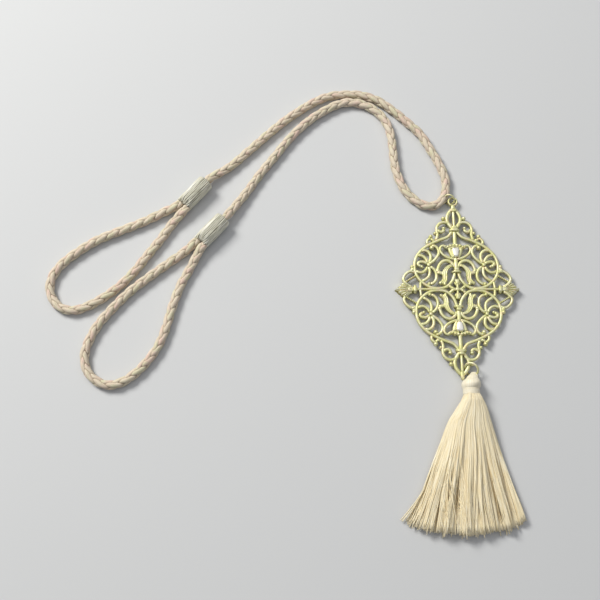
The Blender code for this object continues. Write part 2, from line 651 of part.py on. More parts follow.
def main():
    for obj in list(bpy.data.objects):
        bpy.data.objects.remove(obj)
    run = cord("cord_run", run_route())
    cord("end_loop_upper", loop_route(UPPER_SLEEVE, UPPER_LOOP_ROUTE))
    cord("end_loop_lower", loop_route(LOWER_SLEEVE, LOWER_LOOP_ROUTE))
    sleeve("sleeve_upper", UPPER_SLEEVE)
    sleeve("sleeve_lower", LOWER_SLEEVE)
    pendant()
    head = tassel()
    binding()
    for name, through in (("cord_ring", run), ("tassel_ring", head)):
        centre, radius, wire, low_at, tilt = RINGS[name]
        wire_ring(name, centre, radius, wire, low_at, tilt)
        channel = wire_ring("channel", centre, radius, wire + PIECE_GAP, low_at, tilt)
        boolean(through, channel, "DIFFERENCE")


main()
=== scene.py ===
"""Looks of the curtain tieback: braided cord, thread-wound sleeves, gilt scrollwork pendant, tassel.

Lengths are in millimetres until put() turns them into metres. The origin lies on the floor
under the middle of the pendant, +X to the right of the picture, +Y away, +Z up.
"""

import math

import bpy
import numpy as np
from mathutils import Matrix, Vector


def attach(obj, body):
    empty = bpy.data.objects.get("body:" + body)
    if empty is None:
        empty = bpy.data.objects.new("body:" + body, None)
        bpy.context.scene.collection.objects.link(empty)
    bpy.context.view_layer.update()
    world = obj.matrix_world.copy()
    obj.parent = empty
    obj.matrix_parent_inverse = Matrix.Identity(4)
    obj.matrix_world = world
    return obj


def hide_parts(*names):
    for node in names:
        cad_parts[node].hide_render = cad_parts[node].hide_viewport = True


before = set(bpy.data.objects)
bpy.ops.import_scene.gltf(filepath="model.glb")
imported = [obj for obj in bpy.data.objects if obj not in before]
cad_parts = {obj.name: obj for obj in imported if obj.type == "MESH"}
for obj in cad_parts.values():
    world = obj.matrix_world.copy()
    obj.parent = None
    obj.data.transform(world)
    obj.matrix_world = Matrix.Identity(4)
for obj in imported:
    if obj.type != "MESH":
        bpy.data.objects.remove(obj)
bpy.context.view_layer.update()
MM = 0.001
LOWEST_Z = 0.02  # no piece of the object goes lower
rng = np.random.default_rng(11)

# Camera: looks down 17 degrees off the plumb line.
CAMERA_AT = (-87.35, -140.7, 442.8)
CAMERA_AIM = (-87.35, -5.33, 0.0)
LENS = 50.0

# Braid.
LOZENGE_PITCH = 7.2
LOZENGE_TILT = math.radians(21)
LOZENGE_HALF = (4.7, 1.95)  # half length and half width
LOZENGE_RISE = 1.08
BRAID_BASE = 1.55  # radius under the lozenges
BRAID_UNROLL = 2.2  # millimetres across for each radian round
BRAID_STEP = 0.3
BRAID_SIDES = 56
PINCH_LENGTH = 2.0  # a cord is narrower over its last stretch
PINCH = 0.14

# Sleeves. Their threads lie round a core, and a loop's two legs meet the near end side by side.
SLEEVE_AXIS_Z = 4.5
SLEEVE_THREADS = 28
SLEEVE_STATIONS = 30
SLEEVE_THREAD_R = 0.45
SLEEVE_SIDES = 8
THREADS_LIE_AT = 4.3  # distance from the axis
MOUTH_HALF = (4.4, 2.55)  # half width and half height of the threads' rest over the legs
MOUTH_REACH = 2.6  # length over which they close down to it
END_CURL = 1.1  # length over which they curl in at the far end
CORE_R = 4.0
CORE_SIDES = 40
LEG_OFFSET = 2.45
GRIP_BACK = (0.3, 3.0)  # a cord's last two points, back from the sleeve's face
GRIP_Z = 4.3
UPPER_SLEEVE = ((-153.0, 50.7), (-141.2, 64.3))
LOWER_SLEEVE = ((-142.6, 27.9), (-130.7, 41.5))

# Routes of the cords, point by point as in the solids. They rise a little towards the sleeves.
RUN_ROUTE = (
    (-128.5, 74.3, 2.6), (-118.1, 84.1, 2.4),
    (-107.4, 94.5, 2.4), (-96.6, 104.5, 2.4), (-87.1, 111.8, 2.4), (-79.8, 116.6, 2.4),
    (-70.6, 120.9, 2.4), (-60.9, 122.2, 2.4), (-51.0, 121.7, 2.4), (-41.2, 118.2, 2.4),
    (-32.0, 111.2, 2.4), (-24.1, 103.7, 2.4), (-16.8, 95.9, 2.4), (-11.3, 86.0, 2.4),
    (-6.8, 76.9, 2.4), (-3.6, 67.9, 2.4), (-3.4, 61.0, 2.4), (-5.3, 54.6, 2.4),
    (-10.4, 50.4, 2.4), (-16.8, 50.8, 2.4), (-22.8, 55.0, 2.4), (-27.6, 61.1, 2.4),
    (-30.4, 67.9, 2.4), (-32.1, 74.9, 2.4), (-32.9, 83.2, 2.4), (-33.5, 91.7, 2.4),
    (-35.2, 100.6, 2.4), (-39.4, 108.2, 2.4), (-45.4, 113.4, 2.4), (-52.0, 116.2, 2.4),
    (-59.4, 116.9, 2.4), (-66.4, 114.9, 2.4), (-74.0, 110.6, 2.4), (-80.8, 105.8, 2.4),
    (-87.3, 99.8, 2.4), (-93.9, 92.4, 2.4), (-102.0, 81.4, 2.4), (-110.3, 70.4, 2.4),
    (-118.2, 58.4, 2.6),
)
UPPER_LOOP_ROUTE = (
    (-164.6, 46.6, 2.6), (-175.6, 40.8, 2.4), (-188.4, 35.2, 2.4), (-201.0, 29.6, 2.4),
    (-210.9, 23.2, 2.4), (-219.7, 15.8, 2.4), (-224.9, 8.4, 2.4), (-226.2, 1.2, 2.4),
    (-223.8, -5.9, 2.4), (-218.4, -10.8, 2.4), (-211.5, -11.9, 2.4), (-204.1, -9.4, 2.4),
    (-196.0, -4.6, 2.4), (-187.9, 1.8, 2.4), (-180.0, 10.4, 2.4), (-172.8, 20.4, 2.4),
    (-166.0, 29.8, 2.4), (-159.8, 39.2, 2.7),
)
LOWER_LOOP_ROUTE = (
    (-152.8, 21.8, 2.6), (-162.9, 14.1, 2.4), (-172.8, 6.2, 2.4), (-182.6, -2.2, 2.4),
    (-191.3, -11.8, 2.4), (-197.5, -19.7, 2.4), (-201.9, -28.4, 2.4), (-204.0, -36.9, 2.4),
    (-202.3, -45.4, 2.4), (-196.9, -51.2, 2.4), (-190.2, -53.7, 2.4), (-182.9, -52.1, 2.4),
    (-175.8, -47.1, 2.4), (-169.6, -40.3, 2.4), (-164.2, -31.8, 2.4), (-160.5, -21.4, 2.4),
    (-157.7, -10.1, 2.4), (-153.8, 2.0, 2.4), (-148.4, 13.2, 2.6),
)

# Rings: centre, radius, wire radius, bearing of the lowest point, tilt.
RINGS = {
    "cord_ring": ((-1.95, 53.85, 3.2), 3.0, 0.45, math.radians(246.5), math.radians(55)),
    "tassel_ring": ((4.85, -45.25, 3.4), 3.67, 0.6, math.radians(230), math.radians(48)),
}

# One quarter of the scrollwork: name, bar width, middle line. The rest is its mirror images.
SCROLLS = (
    ("lyre", 1.8, ((0.5, 48.2), (2.0, 46.5), (3.4, 44.0), (3.8, 41.4), (3.1, 39.1), (2.0, 37.4),
                   (0.8, 35.6))),
    ("c scroll", 1.6, ((1.6, 37.0), (2.8, 39.0), (5.4, 40.0), (7.9, 39.3), (9.6, 37.2), (9.9, 34.8),
                       (9.6, 32.0), (10.6, 29.0))),
    ("c volute", 1.7, ((9.7, 35.6), (8.6, 34.5), (7.2, 34.1), (6.1, 34.7), (5.9, 35.9))),
    ("ogee", 1.65, ((0.9, 35.0), (3.8, 31.2), (8.1, 29.4), (12.2, 27.6), (16.6, 25.1), (20.1, 21.9),
                    (22.4, 18.2), (23.3, 14.1), (23.0, 10.3), (21.6, 6.8), (19.0, 3.8), (15.6, 1.6),
                    (12.8, 0.75), (9.7, 0.6), (6.4, 1.3), (3.9, 3.3), (2.0, 6.2), (0.8, 10.0))),
    ("outer hook", 1.5, ((15.3, 26.4), (15.7, 27.7), (15.4, 28.9), (14.5, 29.8), (13.4, 30.6))),
    ("outer fillet", 1.5, ((13.5, 30.2), (12.6, 29.2), (11.0, 28.9))),
    ("upper petal", 1.6, ((15.2, 14.8), (13.1, 16.2), (10.9, 18.4), (9.6, 20.6), (9.4, 22.8), (10.4, 24.8),
                          (11.9, 25.7), (13.3, 25.4))),
    ("rib one", 1.7, ((15.2, 15.4), (14.1, 17.9), (14.2, 20.4), (15.4, 22.2), (17.3, 23.0), (19.2, 22.6))),
    ("rib two", 1.7, ((15.7, 15.4), (16.8, 17.9), (18.5, 19.6), (21.4, 20.2))),
    ("rib three", 1.7, ((16.0, 14.9), (17.6, 15.9), (19.4, 16.2), (20.9, 15.7), (21.3, 14.6),
                        (20.4, 13.8), (19.4, 13.4))),
    ("rib four", 1.6, ((16.0, 13.4), (17.0, 11.4), (18.6, 10.1), (20.4, 9.8), (22.7, 10.8))),
    ("rib five", 1.6, ((15.3, 13.4), (14.9, 10.4), (15.4, 7.9), (17.0, 6.1), (19.4, 4.8))),
    ("lower petal", 1.6, ((14.6, 13.6), (12.5, 11.7), (11.4, 9.4), (11.3, 7.2), (11.9, 5.2),
                          (13.3, 3.7), (15.0, 3.1))),
    ("inner scroll", 1.75, ((0.9, 12.8), (2.6, 15.7), (5.0, 16.9), (7.3, 16.4), (9.2, 14.6),
                            (10.2, 12.2), (11.2, 9.8))),
    ("crescent", 2.0, ((6.6, 8.8), (8.6, 9.6), (11.0, 10.0))),
    ("bell leaf", 1.5, ((3.9, 24.3), (5.4, 24.8), (6.8, 25.8), (8.1, 25.0), (8.6, 23.2), (7.6, 21.1),
                        (5.6, 19.4), (2.9, 18.2), (0.4, 17.7))),
    ("centre arm", 1.6, ((0.2, 0.0), (2.0, 0.1), (3.2, 0.9), (4.7, 2.4))),
    ("centre leaf", 1.0, ((0.2, 2.2), (1.1, 3.1), (1.5, 4.4))),
    ("side scroll", 1.5, ((22.8, 9.8), (25.8, 10.6), (28.1, 9.2), (29.5, 7.3), (29.8, 5.4), (28.6, 3.7),
                          (27.2, 2.4), (25.2, 1.3))),
    ("bell crown", 1.7, ((0.3, 25.1), (2.2, 25.0), (3.6, 24.3), (4.6, 24.3))),
    ("side bud", 2.2, ((23.6, 10.4), (24.4, 11.6), (23.7, 12.9))),
)
STRAIGHT_BARS = (
    ("lyre stem", 1.6, (0.0, 35.0), (0.0, 47.6)),
    ("upper stem", 2.2, (0.0, 25.0), (0.0, 35.0)),
    ("lower stem", 2.4, (0.0, 10.0), (0.0, 18.8)),
    ("side bar", 1.5, (8.0, 0.0), (26.0, 0.0)),
    ("cross bar", 1.5, (20.7, 0.0), (20.3, 4.4)),
    ("centre stem", 1.3, (0.0, 0.0), (0.0, 3.2)),
)
# Broad leaves of the scrollwork: middle line of x, y and half width.
LEAVES = {
    "acanthus": ((1.8, 14.2, 0.65), (4.0, 13.4, 0.95), (5.8, 11.6, 1.25), (6.7, 9.4, 1.5), (6.65, 7.4, 1.4),
                 (6.9, 5.4, 1.4), (7.6, 4.2, 1.5), (8.1, 3.0, 1.6)),
    "bud side": ((1.3, 18.2, 0.6), (2.25, 20.4, 1.0), (3.0, 23.2, 1.15), (3.5, 24.3, 0.7)),
}
# Pointed lobes at the leaves' ends: root, tip, half width.
LEAF_TIPS = (((7.5, 5.3), (9.9, 3.0), 1.1), ((7.0, 5.4), (6.9, 2.3), 1.0), ((6.4, 8.4), (5.2, 7.5), 0.8))
# Beads: name, x, y, radius, height above the bars.
BEADS = (
    ("lyre bead", 5.8, 42.3, 1.15, 0.5), ("volute end", 5.9, 36.2, 1.05, 0.5),
    ("stem bead", 10.9, 33.2, 1.0, 0.4), ("hook bead", 13.5, 31.2, 1.2, 0.6),
    ("petal end", 13.2, 24.5, 1.3, 0.6), ("lower petal end", 15.5, 3.2, 1.05, 0.5),
    ("rib end", 19.2, 13.3, 0.95, 0.2), ("spur", 24.6, 13.2, 1.15, 0.4), ("spur", 25.0, 11.0, 0.95, 0.3),
    ("arm bead", 2.8, 0.8, 0.85, 0.3), ("scroll end", 10.3, 10.9, 1.2, 0.2),
    ("crown one", 1.0, 25.8, 1.05, 0.9), ("crown two", 2.7, 25.5, 1.05, 0.8),
    ("crown three", 4.2, 24.9, 1.0, 0.7), ("crown four", 5.6, 25.3, 0.85, 0.5),
    ("upper collar end", 2.1, 34.9, 0.95, 0.7), ("lower collar end", 1.9, 10.0, 0.85, 0.6),
    ("side collar end", 23.6, 1.7, 0.9, 0.6),
    *(("side leaf bead", 23.4 + 0.9 * k, 7.6 - 0.55 * k, 0.62, 0.1) for k in range(6)),
)
# Raised bosses: name, x, y, half width, half height, and how much wider the far end is.
BOSSES = (
    ("upper collar", 0.0, 35.1, 2.2, 0.9, 0), ("lower collar", 0.0, 10.2, 1.9, 0.75, 0),
    ("under collar", 0.0, 36.5, 1.5, 0.9, 0), ("lower collar neck", 0.0, 11.6, 1.45, 0.9, 0),
    ("fan hub", 15.4, 14.3, 0.95, 0.95, 0), ("side collar", 23.6, 0.0, 1.0, 1.8, 0),
    ("palmette neck", 26.0, 0.0, 1.9, 1.3, 0), ("centre boss", 0.0, 0.0, 1.15, 1.05, 0),
    ("centre bud", 0.0, 4.2, 1.1, 1.7, 0.25),
)
PALMETTE_ROOT = 25.2
PALMETTE_TIP = 34.7
PALMETTE_CORNER = (30.1, 4.5)
PALMETTE_LOBE = math.radians(14)  # from one ridge to the next
PALMETTE_SIDE = math.radians(48)  # bearing of its sides from its own middle line
PALMETTE_NECK = 4.6  # reach along its sides
PALMETTE_RELIEF = 0.42  # depth of its grooves against its height
PALMETTE_SCALLOP = 0.06  # depth of its outline's scallops against its reach
# On the middle line: the bell-flowers' buds, the eye, and tapered bars from the eye and at the foot.
BUD_AT = (0.0, 21.5)
BUD_HALF = (1.85, 2.9)
BUD_WAIST = 0.26  # how much wider its far end is
EYE_AT = (0.0, 52.6)
EYE_R = 2.35
EYE_BAR = 0.55  # half its width
EYE_COLLAR = (0.0, 47.0, 1.9, 0.7)
TAPERS = (((0.0, 47.4), (0.0, 50.6), (1.5, 0.9), 0.25), ((0.0, -46.2), (0.0, -51.0), (1.5, 0.85), 0.2))
BAR_Z = (1.8, 3.5)
BAR_SPREAD = 1.06
BOSS_TOP = 4.4
HIGHLIGHT_Z = (3.2, 4.1)  # a palmette's ridges get a paler painted highlight between these heights

# Rings of wire.
RING_STEPS = 64
WIRE_SIDES = 14

# Tassel head: y, x of its middle, radius, height of its middle.
HEAD_ROWS = (
    (-46.6, 6.3, 1.3, 1.6), (-47.7, 6.0, 2.0, 2.1), (-48.9, 5.5, 2.8, 2.85), (-50.4, 4.9, 3.4, 3.6),
    (-52.0, 4.3, 4.6, 4.5), (-53.7, 4.1, 5.1, 4.9), (-55.4, 3.9, 4.8, 4.7), (-56.6, 3.8, 4.1, 4.5),
    (-58.6, 3.9, 4.0, 4.5), (-60.0, 4.0, 3.9, 4.5),
)
HEAD_SIDES = 96
HEAD_RIDGES = 48

# Thread wound round the neck.
WINDING_TURNS = 9
WINDING_TOP = -56.1
WINDING_PITCH = 0.36
WINDING_AXIS = (3.85, 4.5)  # x and z
WINDING_R = 4.28
WINDING_THREAD_R = 0.24
WINDING_SIDES = 8

# Skirt, by share of a thread's length: x of the middle, half width, thickness.
SKIRT_ROWS = (
    (0.0, 4.0, 4.0, 8.2), (0.03, 4.2, 4.7, 8.4), (0.08, 3.9, 6.7, 9.0), (0.15, 3.0, 8.9, 9.2),
    (0.22, 2.0, 11.0, 9.1), (0.38, 1.3, 14.6, 8.6), (0.6, 0.2, 19.6, 7.6), (0.83, -0.5, 24.8, 6.6),
    (1.0, -0.5, 28.3, 5.6),
)
NECK_Y = -59.0
NECK_Z = 4.55
NECK_R = 4.02
BED_Z = 0.35  # height of the lowest threads' middles
SKIRT_LENGTH = 72.0
SKIRT_STATIONS = 24
THREAD_R = 0.28
# The hem rises to the right from a place on, towards both edges, and once more at the corners.
HEM_SLOPE = 1.2
HEM_SLOPE_FROM = -0.1
HEM_ARCH = 3.4
HEM_CORNER = 3.4
# The left edge's threads fan out: place where it starts, reach, share of length where it starts.
SKIRT_FAN = (0.76, 3.4, 0.76)
# Sways that neighbouring threads share, and ridges: size, waves across the skirt, waves along, phase.
SKIRT_SWAYS = ((1.0, 8.0, 2.4, 0.4), (0.7, 15.0, -3.1, 1.9), (0.4, 29.0, 4.3, 4.0), (0.22, 53.0, 6.1, 2.2))
SKIRT_RIDGES = ((0.85, 17.0, 2.5, 0.6), (0.42, 37.0, -3.0, 0.0), (0.26, 83.0, 4.0, 1.0))
# Valleys: place across from -1 to 1, depth, shares of length where they open and close.
SKIRT_VALLEYS = (
    (-0.65, 3.4, 0.62, 1.3), (-0.27, 2.3, 0.4, 0.9), (-0.86, 0.7, 0.3, 1.3), (-0.45, 0.8, 0.3, 1.3),
    (-0.08, 0.8, 0.25, 1.3), (0.14, 0.9, 0.2, 1.3), (0.33, 1.0, 0.45, 1.3), (0.55, 1.3, 0.4, 1.3),
    (0.77, 1.1, 0.3, 1.3),
)
VALLEY_HALF = 0.035
VALLEY_DARKEST = 1.6  # depth from which a valley's painted shade is as dark as it gets
# How dark the painted shade of the skirt's creases gets.
PAINTED_CREASE_SHADE = 0.9

LIGHTS_AIM = (-0.07, 0.0, 0.0)  # in metres, as the lamps' places and sizes are


# Curves and grids.

def smooth_curve(knots, step):
    """Evenly spaced points of the centripetal Catmull-Rom curve through the knots, by the pyramid
    of blends between neighbouring knots, whose parameter grows by the square root of distance."""
    knots = np.asarray(knots, float)
    ends = np.vstack([2 * knots[0] - knots[1], knots, 2 * knots[-1] - knots[-2]])
    gaps = np.sqrt(np.linalg.norm(np.diff(ends, axis=0), axis=1))
    a, b, c, d = (ends[k : len(ends) - 3 + k, None, :] for k in range(4))
    t1, g2, g3 = (gaps[k : len(gaps) - 2 + k, None, None] for k in range(3))
    t2, t3 = t1 + g2, t1 + g2 + g3
    t = t1 + g2 * np.linspace(0.0, 1.0, 40, endpoint=False)[None, :, None]
    ab = ((t1 - t) * a + t * b) / t1
    bc = ((t2 - t) * b + (t - t1) * c) / g2
    cd = ((t3 - t) * c + (t - t2) * d) / g3
    left = ((t2 - t) * ab + t * bc) / t2
    right = ((t3 - t) * bc + (t - t1) * cd) / (t3 - t1)
    line = (((t2 - t) * left + (t - t1) * right) / g2).reshape(-1, knots.shape[1])
    line = np.vstack([line, knots[-1:]])
    along = np.concatenate([[0.0], np.cumsum(np.linalg.norm(np.diff(line, axis=0), axis=1))])
    at = np.linspace(0.0, along[-1], max(2, round(along[-1] / step) + 1))
    return np.stack([np.interp(at, along, line[:, k]) for k in range(line.shape[1])], axis=1)


def unit(vectors):
    """The vectors drawn to a length of one."""
    return vectors / np.linalg.norm(vectors, axis=-1, keepdims=True)


def axes_along(line):
    """Unit tangent, level side and upward axis at each point of lines that are nowhere upright."""
    along = unit(np.gradient(line, axis=-2))
    side = unit(np.cross((0.0, 0.0, 1.0), along))
    return along, side, np.cross(along, side)


def held(values):
    """Values held between 0 and 1."""
    return np.clip(values, 0.0, 1.0)


def eased(share):
    """0 up to 0 and 1 from 1 on, and between them three squares of the share less two cubes."""
    share = held(share)
    return share * share * (3.0 - 2.0 * share)


def powered(values, power):
    """Values raised to the power, each with its own sign."""
    return np.sign(values) * np.abs(values) ** power


def around(sides):
    """Evenly spaced angles round a circle."""
    return np.arange(sides) * 2 * math.pi / sides


def ring_quads(here, there):
    """Quads between rings of numbered points and the next rings."""
    quads = np.stack([here, np.roll(here, -1, -1), np.roll(there, -1, -1), there], axis=-1)
    return quads.reshape(-1, 4)


def skin(rings):
    """Points and quads of a closed skin over rows of rings, whose first and last rows are drawn
    to a point. rings is row, side, xyz, and an axis before these is one of separate skins."""
    middles = rings.mean(axis=-2, keepdims=True).repeat(rings.shape[-2], -2)
    rings = np.concatenate([middles[..., :1, :, :], rings, middles[..., -1:, :, :]], axis=-3)
    corner = np.arange(rings.size // 3).reshape(rings.shape[:-1])
    return rings.reshape(-1, 3), ring_quads(corner[..., :-1, :], corner[..., 1:, :])


def ends_twice(values, axis):
    """Values with the outer ones repeated, as skin() repeats the outer rows."""
    count = values.shape[axis]
    return values.take(np.clip(np.arange(-1, count + 1), 0, count - 1), axis)


def tubes(lines, radii, sides):
    """Closed tubes: rings of points at the given radii round each line. lines is tube, station,
    xyz, and radii is tube, station. Returns points and quads."""
    _, side, up = axes_along(lines)
    angles = around(sides)
    spokes = np.cos(angles)[:, None] * side[:, :, None] + np.sin(angles)[:, None] * up[:, :, None]
    return skin(lines[:, :, None] + radii[:, :, None, None] * spokes)


def tube_lay(along, sides, side_step, strand_step):
    """The lay of the points of tubes: a step a side, the distance along, and a step a tube."""
    along = ends_twice(along, 1)
    lay = np.empty((*along.shape, sides, 3))
    lay[..., 0] = np.arange(sides) * side_step
    lay[..., 1] = along[..., None]
    lay[..., 2] = (np.arange(len(along)) * strand_step)[:, None, None]
    return lay.reshape(-1, 3)


def together(parts):
    """Several pairs of points and quads as one pair."""
    starts = np.cumsum([0] + [len(points) for points, _ in parts[:-1]])
    return np.vstack([p for p, _ in parts]), np.vstack([q + s for (_, q), s in zip(parts, starts)])


def outward(part):
    """The part with its faces turned round if the volume that they enclose comes out negative."""
    points, quads = part
    a, b, c, d = (points[quads[:, k]] for k in range(4))
    volume = (a * np.cross(b, c)).sum() + (a * np.cross(c, d)).sum()
    return points, quads if volume > 0 else quads[:, ::-1]


def mirrored(part, sx, sy):
    """The part mirrored across the pendant's middle lines, its faces still outward."""
    points, quads = part
    return points * (sx, sy, 1.0), quads if sx * sy > 0 else quads[:, ::-1]


def add(name, data):
    """A new object in the scene."""
    obj = bpy.data.objects.new(name, data)
    bpy.context.scene.collection.objects.link(obj)
    return obj


def put(name, part, slot, made_of, *nodes, **values):
    """The part as one object in metres that rides on the root, stands for the nodes and wears
    the material. values are kept as attributes of the mesh, one number or vector a point each.
    Points that fall together at the ends are merged."""
    points, quads = part
    points = np.array(points, float)
    points[:, 2] = np.maximum(points[:, 2], LOWEST_Z)
    mesh = bpy.data.meshes.new(name)
    mesh.from_pydata(points * MM, [], quads)
    for label, data in values.items():
        kind, field = ("FLOAT_VECTOR", "vector") if data.ndim == 2 else ("FLOAT", "value")
        mesh.attributes.new(label, kind, "POINT").data.foreach_set(field, data.astype(np.float32).ravel())
    mesh.polygons.foreach_set("use_smooth", np.ones(len(quads), bool))
    obj = add(name, mesh)
    weld = obj.modifiers.new("weld", "WELD")
    weld.merge_threshold = 1e-6
    mesh.materials.append(made_of)
    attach(obj, "root")
    if nodes:
        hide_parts(*nodes)
    return obj


# Materials.

FIBRE_DEPTH = 0.00012  # depth of the bump patterns, in metres


def feed(tree, made, **inputs):
    """Sets or links each named input of the node and returns the node's outputs. An underscore in
    an input's name stands for a space, and in0, in1 and so on are inputs by number."""
    for key, value in inputs.items():
        numbered = key[:2] == "in" and key[2:].isdigit()
        socket = made.inputs[int(key[2:]) if numbered else key.replace("_", " ")]
        if isinstance(value, bpy.types.NodeSocket):
            tree.links.new(value, socket)
        else:
            socket.default_value = value
    return made.outputs


def node(tree, kind, settings=None, **inputs):
    """The outputs of a new shader node with its settings made and its inputs set or linked."""
    made = tree.nodes.new("ShaderNode" + kind)
    for key, value in (settings or {}).items():
        setattr(made, key, value)
    return feed(tree, made, **inputs)


def maths(tree, operation, a, b=0.0, clamp=False):
    """The result of a sum on one or two values."""
    return node(tree, "Math", {"operation": operation, "use_clamp": clamp}, in0=a, in1=b)[0]


def mix(tree, share, a, b, blend="MIX"):
    """Colour a with a share of colour b blended in."""
    return node(tree, "Mix", {"data_type": "RGBA", "blend_type": blend}, in0=share, in6=a, in7=b)[2]


def spread(tree, value, low, high, to_low=0.0, to_high=1.0):
    """The value taken from between low and high to between the other two, and held there."""
    return node(tree, "MapRange", None, Value=value, From_Min=low, From_Max=high,
                To_Min=to_low, To_Max=to_high)[0]


def noise(tree, vector, scale, detail=2.0, rough=0.5):
    """Smooth noise between 0 and 1."""
    return node(tree, "TexNoise", None, Vector=vector, Scale=scale, Detail=detail, Roughness=rough)[0]


def fibres_group():
    """The threads' node group. Lay holds millimetres across and along a thread, and its number.
    Streaks are noise drawn out along it, and Tint and Blotch drift along it and between threads."""
    tree = bpy.data.node_groups.new("fibres", "ShaderNodeTree")
    for label, kind in (("Lay", "Vector"), ("Fineness", "Float"), ("Length", "Float")):
        tree.interface.new_socket(label, in_out="INPUT", socket_type="NodeSocket" + kind)
    for label in ("Streaks", "Tint", "Blotch"):
        tree.interface.new_socket(label, in_out="OUTPUT", socket_type="NodeSocketFloat")
    given, out = tree.nodes.new("NodeGroupInput").outputs, tree.nodes.new("NodeGroupOutput")
    parts = node(tree, "SeparateXYZ", None, Vector=given["Lay"])
    across = maths(tree, "MULTIPLY", parts[0], given["Fineness"])
    along = maths(tree, "MULTIPLY", parts[1], given["Length"])
    strand = maths(tree, "MULTIPLY", parts[2], 5.37)
    drawn = node(tree, "CombineXYZ", None, X=across, Y=along, Z=strand)[0]
    slow = node(tree, "CombineXYZ", None, X=maths(tree, "MULTIPLY", parts[0], 0.2),
                Y=maths(tree, "MULTIPLY", parts[1], 0.09), Z=strand)[0]
    moved = node(tree, "VectorMath", {"operation": "ADD"}, in0=slow, in1=(31.0, 17.0, 5.0))[0]
    feed(tree, out, Streaks=noise(tree, drawn, 1.0, 3.0, 0.6), Tint=noise(tree, slow, 1.0, 1.0),
         Blotch=noise(tree, moved, 1.6, 1.0))
    return tree


def start_material(name):
    """A new material, its node tree and its shader."""
    made = bpy.data.materials.new(name)
    made.use_nodes = True
    shader = made.node_tree.nodes["Principled BSDF"]
    return made, made.node_tree, shader


def attribute(tree, name, kind="Fac"):
    """What put() keeps at the mesh's points."""
    return node(tree, "Attribute", {"attribute_name": name})[kind]


def bump(tree, height, strength, distance):
    """The normal that a height pattern gives."""
    return node(tree, "Bump", None, Height=height, Strength=strength, Distance=distance)[0]


def thread_material(name, base, second, third, dark, fineness, length, rough, glow=0.0):
    """Yarn: base colour shifted towards second and third by slow tints, darker along streaks, and
    darker by the painted shade that each point carries in the creases, with random tone mixed
    in on the sleeves; with fine fibre ridges and a soft sheen."""
    made, tree, shader = start_material(name)
    lay = attribute(tree, "lay", "Vector")
    out = node(tree, "Group", {"node_tree": FIBRES}, Lay=lay, Fineness=fineness, Length=length)
    colour = mix(tree, spread(tree, out["Tint"], 0.5, 0.66), base, second)
    colour = mix(tree, spread(tree, out["Blotch"], 0.5, 0.68), colour, third)
    colour = mix(tree, spread(tree, out["Streaks"], 0.6, 0.3, 0.0, 0.45), colour, dark)
    # Painted shade: each point's painted shade, with random tone mixed in on the sleeves, darkens the yarn
    # towards the dark colour.
    creased = spread(tree, attribute(tree, "crease"), 0.15, 0.95, 0.0, 0.85)
    colour = mix(tree, creased, colour, dark, "MULTIPLY")
    matt = spread(tree, out["Streaks"], 0.3, 0.7, rough + 0.12, rough - 0.1)
    normal = bump(tree, out["Streaks"], 0.8, FIBRE_DEPTH)
    feed(tree, shader, Base_Color=colour, Roughness=matt, Normal=normal, Sheen_Weight=0.2,
         Sheen_Roughness=0.4, Specular_IOR_Level=0.35, Subsurface_Weight=glow,
         Subsurface_Radius=(1.0, 0.8, 0.6), Subsurface_Scale=0.0008)
    return made


def gilt_material(name, base, bright, warm, shade):
    """Pale gold plating: clouded, with a warm cast in patches, olive brown in specks and low on the
    bars, there as patina and painted shade of the recesses together, and paler and glossier with
    painted highlights on the buds and the palmettes' ridges, and a little paler and glossier on the rings."""
    made, tree, shader = start_material(name)
    at = node(tree, "TexCoord")["Object"]
    height = node(tree, "SeparateXYZ", None, Vector=at)[2]
    cloud = noise(tree, at, 260.0, 3.0, 0.6)
    speck = noise(tree, at, 1400.0, 2.0, 0.5)
    rosy = noise(tree, at, 520.0, 1.0, 0.5)
    polish = attribute(tree, "polish")
    colour = mix(tree, spread(tree, cloud, 0.42, 0.62), base, bright)
    colour = mix(tree, spread(tree, rosy, 0.52, 0.68, 0.0, 0.8), colour, warm)
    specks = spread(tree, speck, 0.62, 0.74, 0.0, 0.35)
    # Patina and painted shade together: the bars are drawn olive brown low down, where the recesses lie,
    # with random specks added.
    low = maths(tree, "ADD", spread(tree, height, 0.0030, 0.0018), specks, True)
    colour = mix(tree, low, colour, shade)
    # Painted highlight: near white over the buds and pale over the palmettes' ridges; the rings only a
    # little paler.
    colour = mix(tree, polish, colour, HIGHLIGHT_AND_POLISH_COLOUR)
    matt = spread(tree, cloud, 0.35, 0.65, 0.68, 0.56)
    rough = maths(tree, "SUBTRACT", matt, maths(tree, "MULTIPLY", polish, 0.15))
    normal = bump(tree, cloud, 0.35, FIBRE_DEPTH)
    feed(tree, shader, Base_Color=colour, Metallic=1.0, Roughness=rough, Normal=normal)
    return made


FIBRES = fibres_group()
# Near white, for the painted highlights, and a little on the rings.
HIGHLIGHT_AND_POLISH_COLOUR = (0.97, 0.95, 0.88, 1)
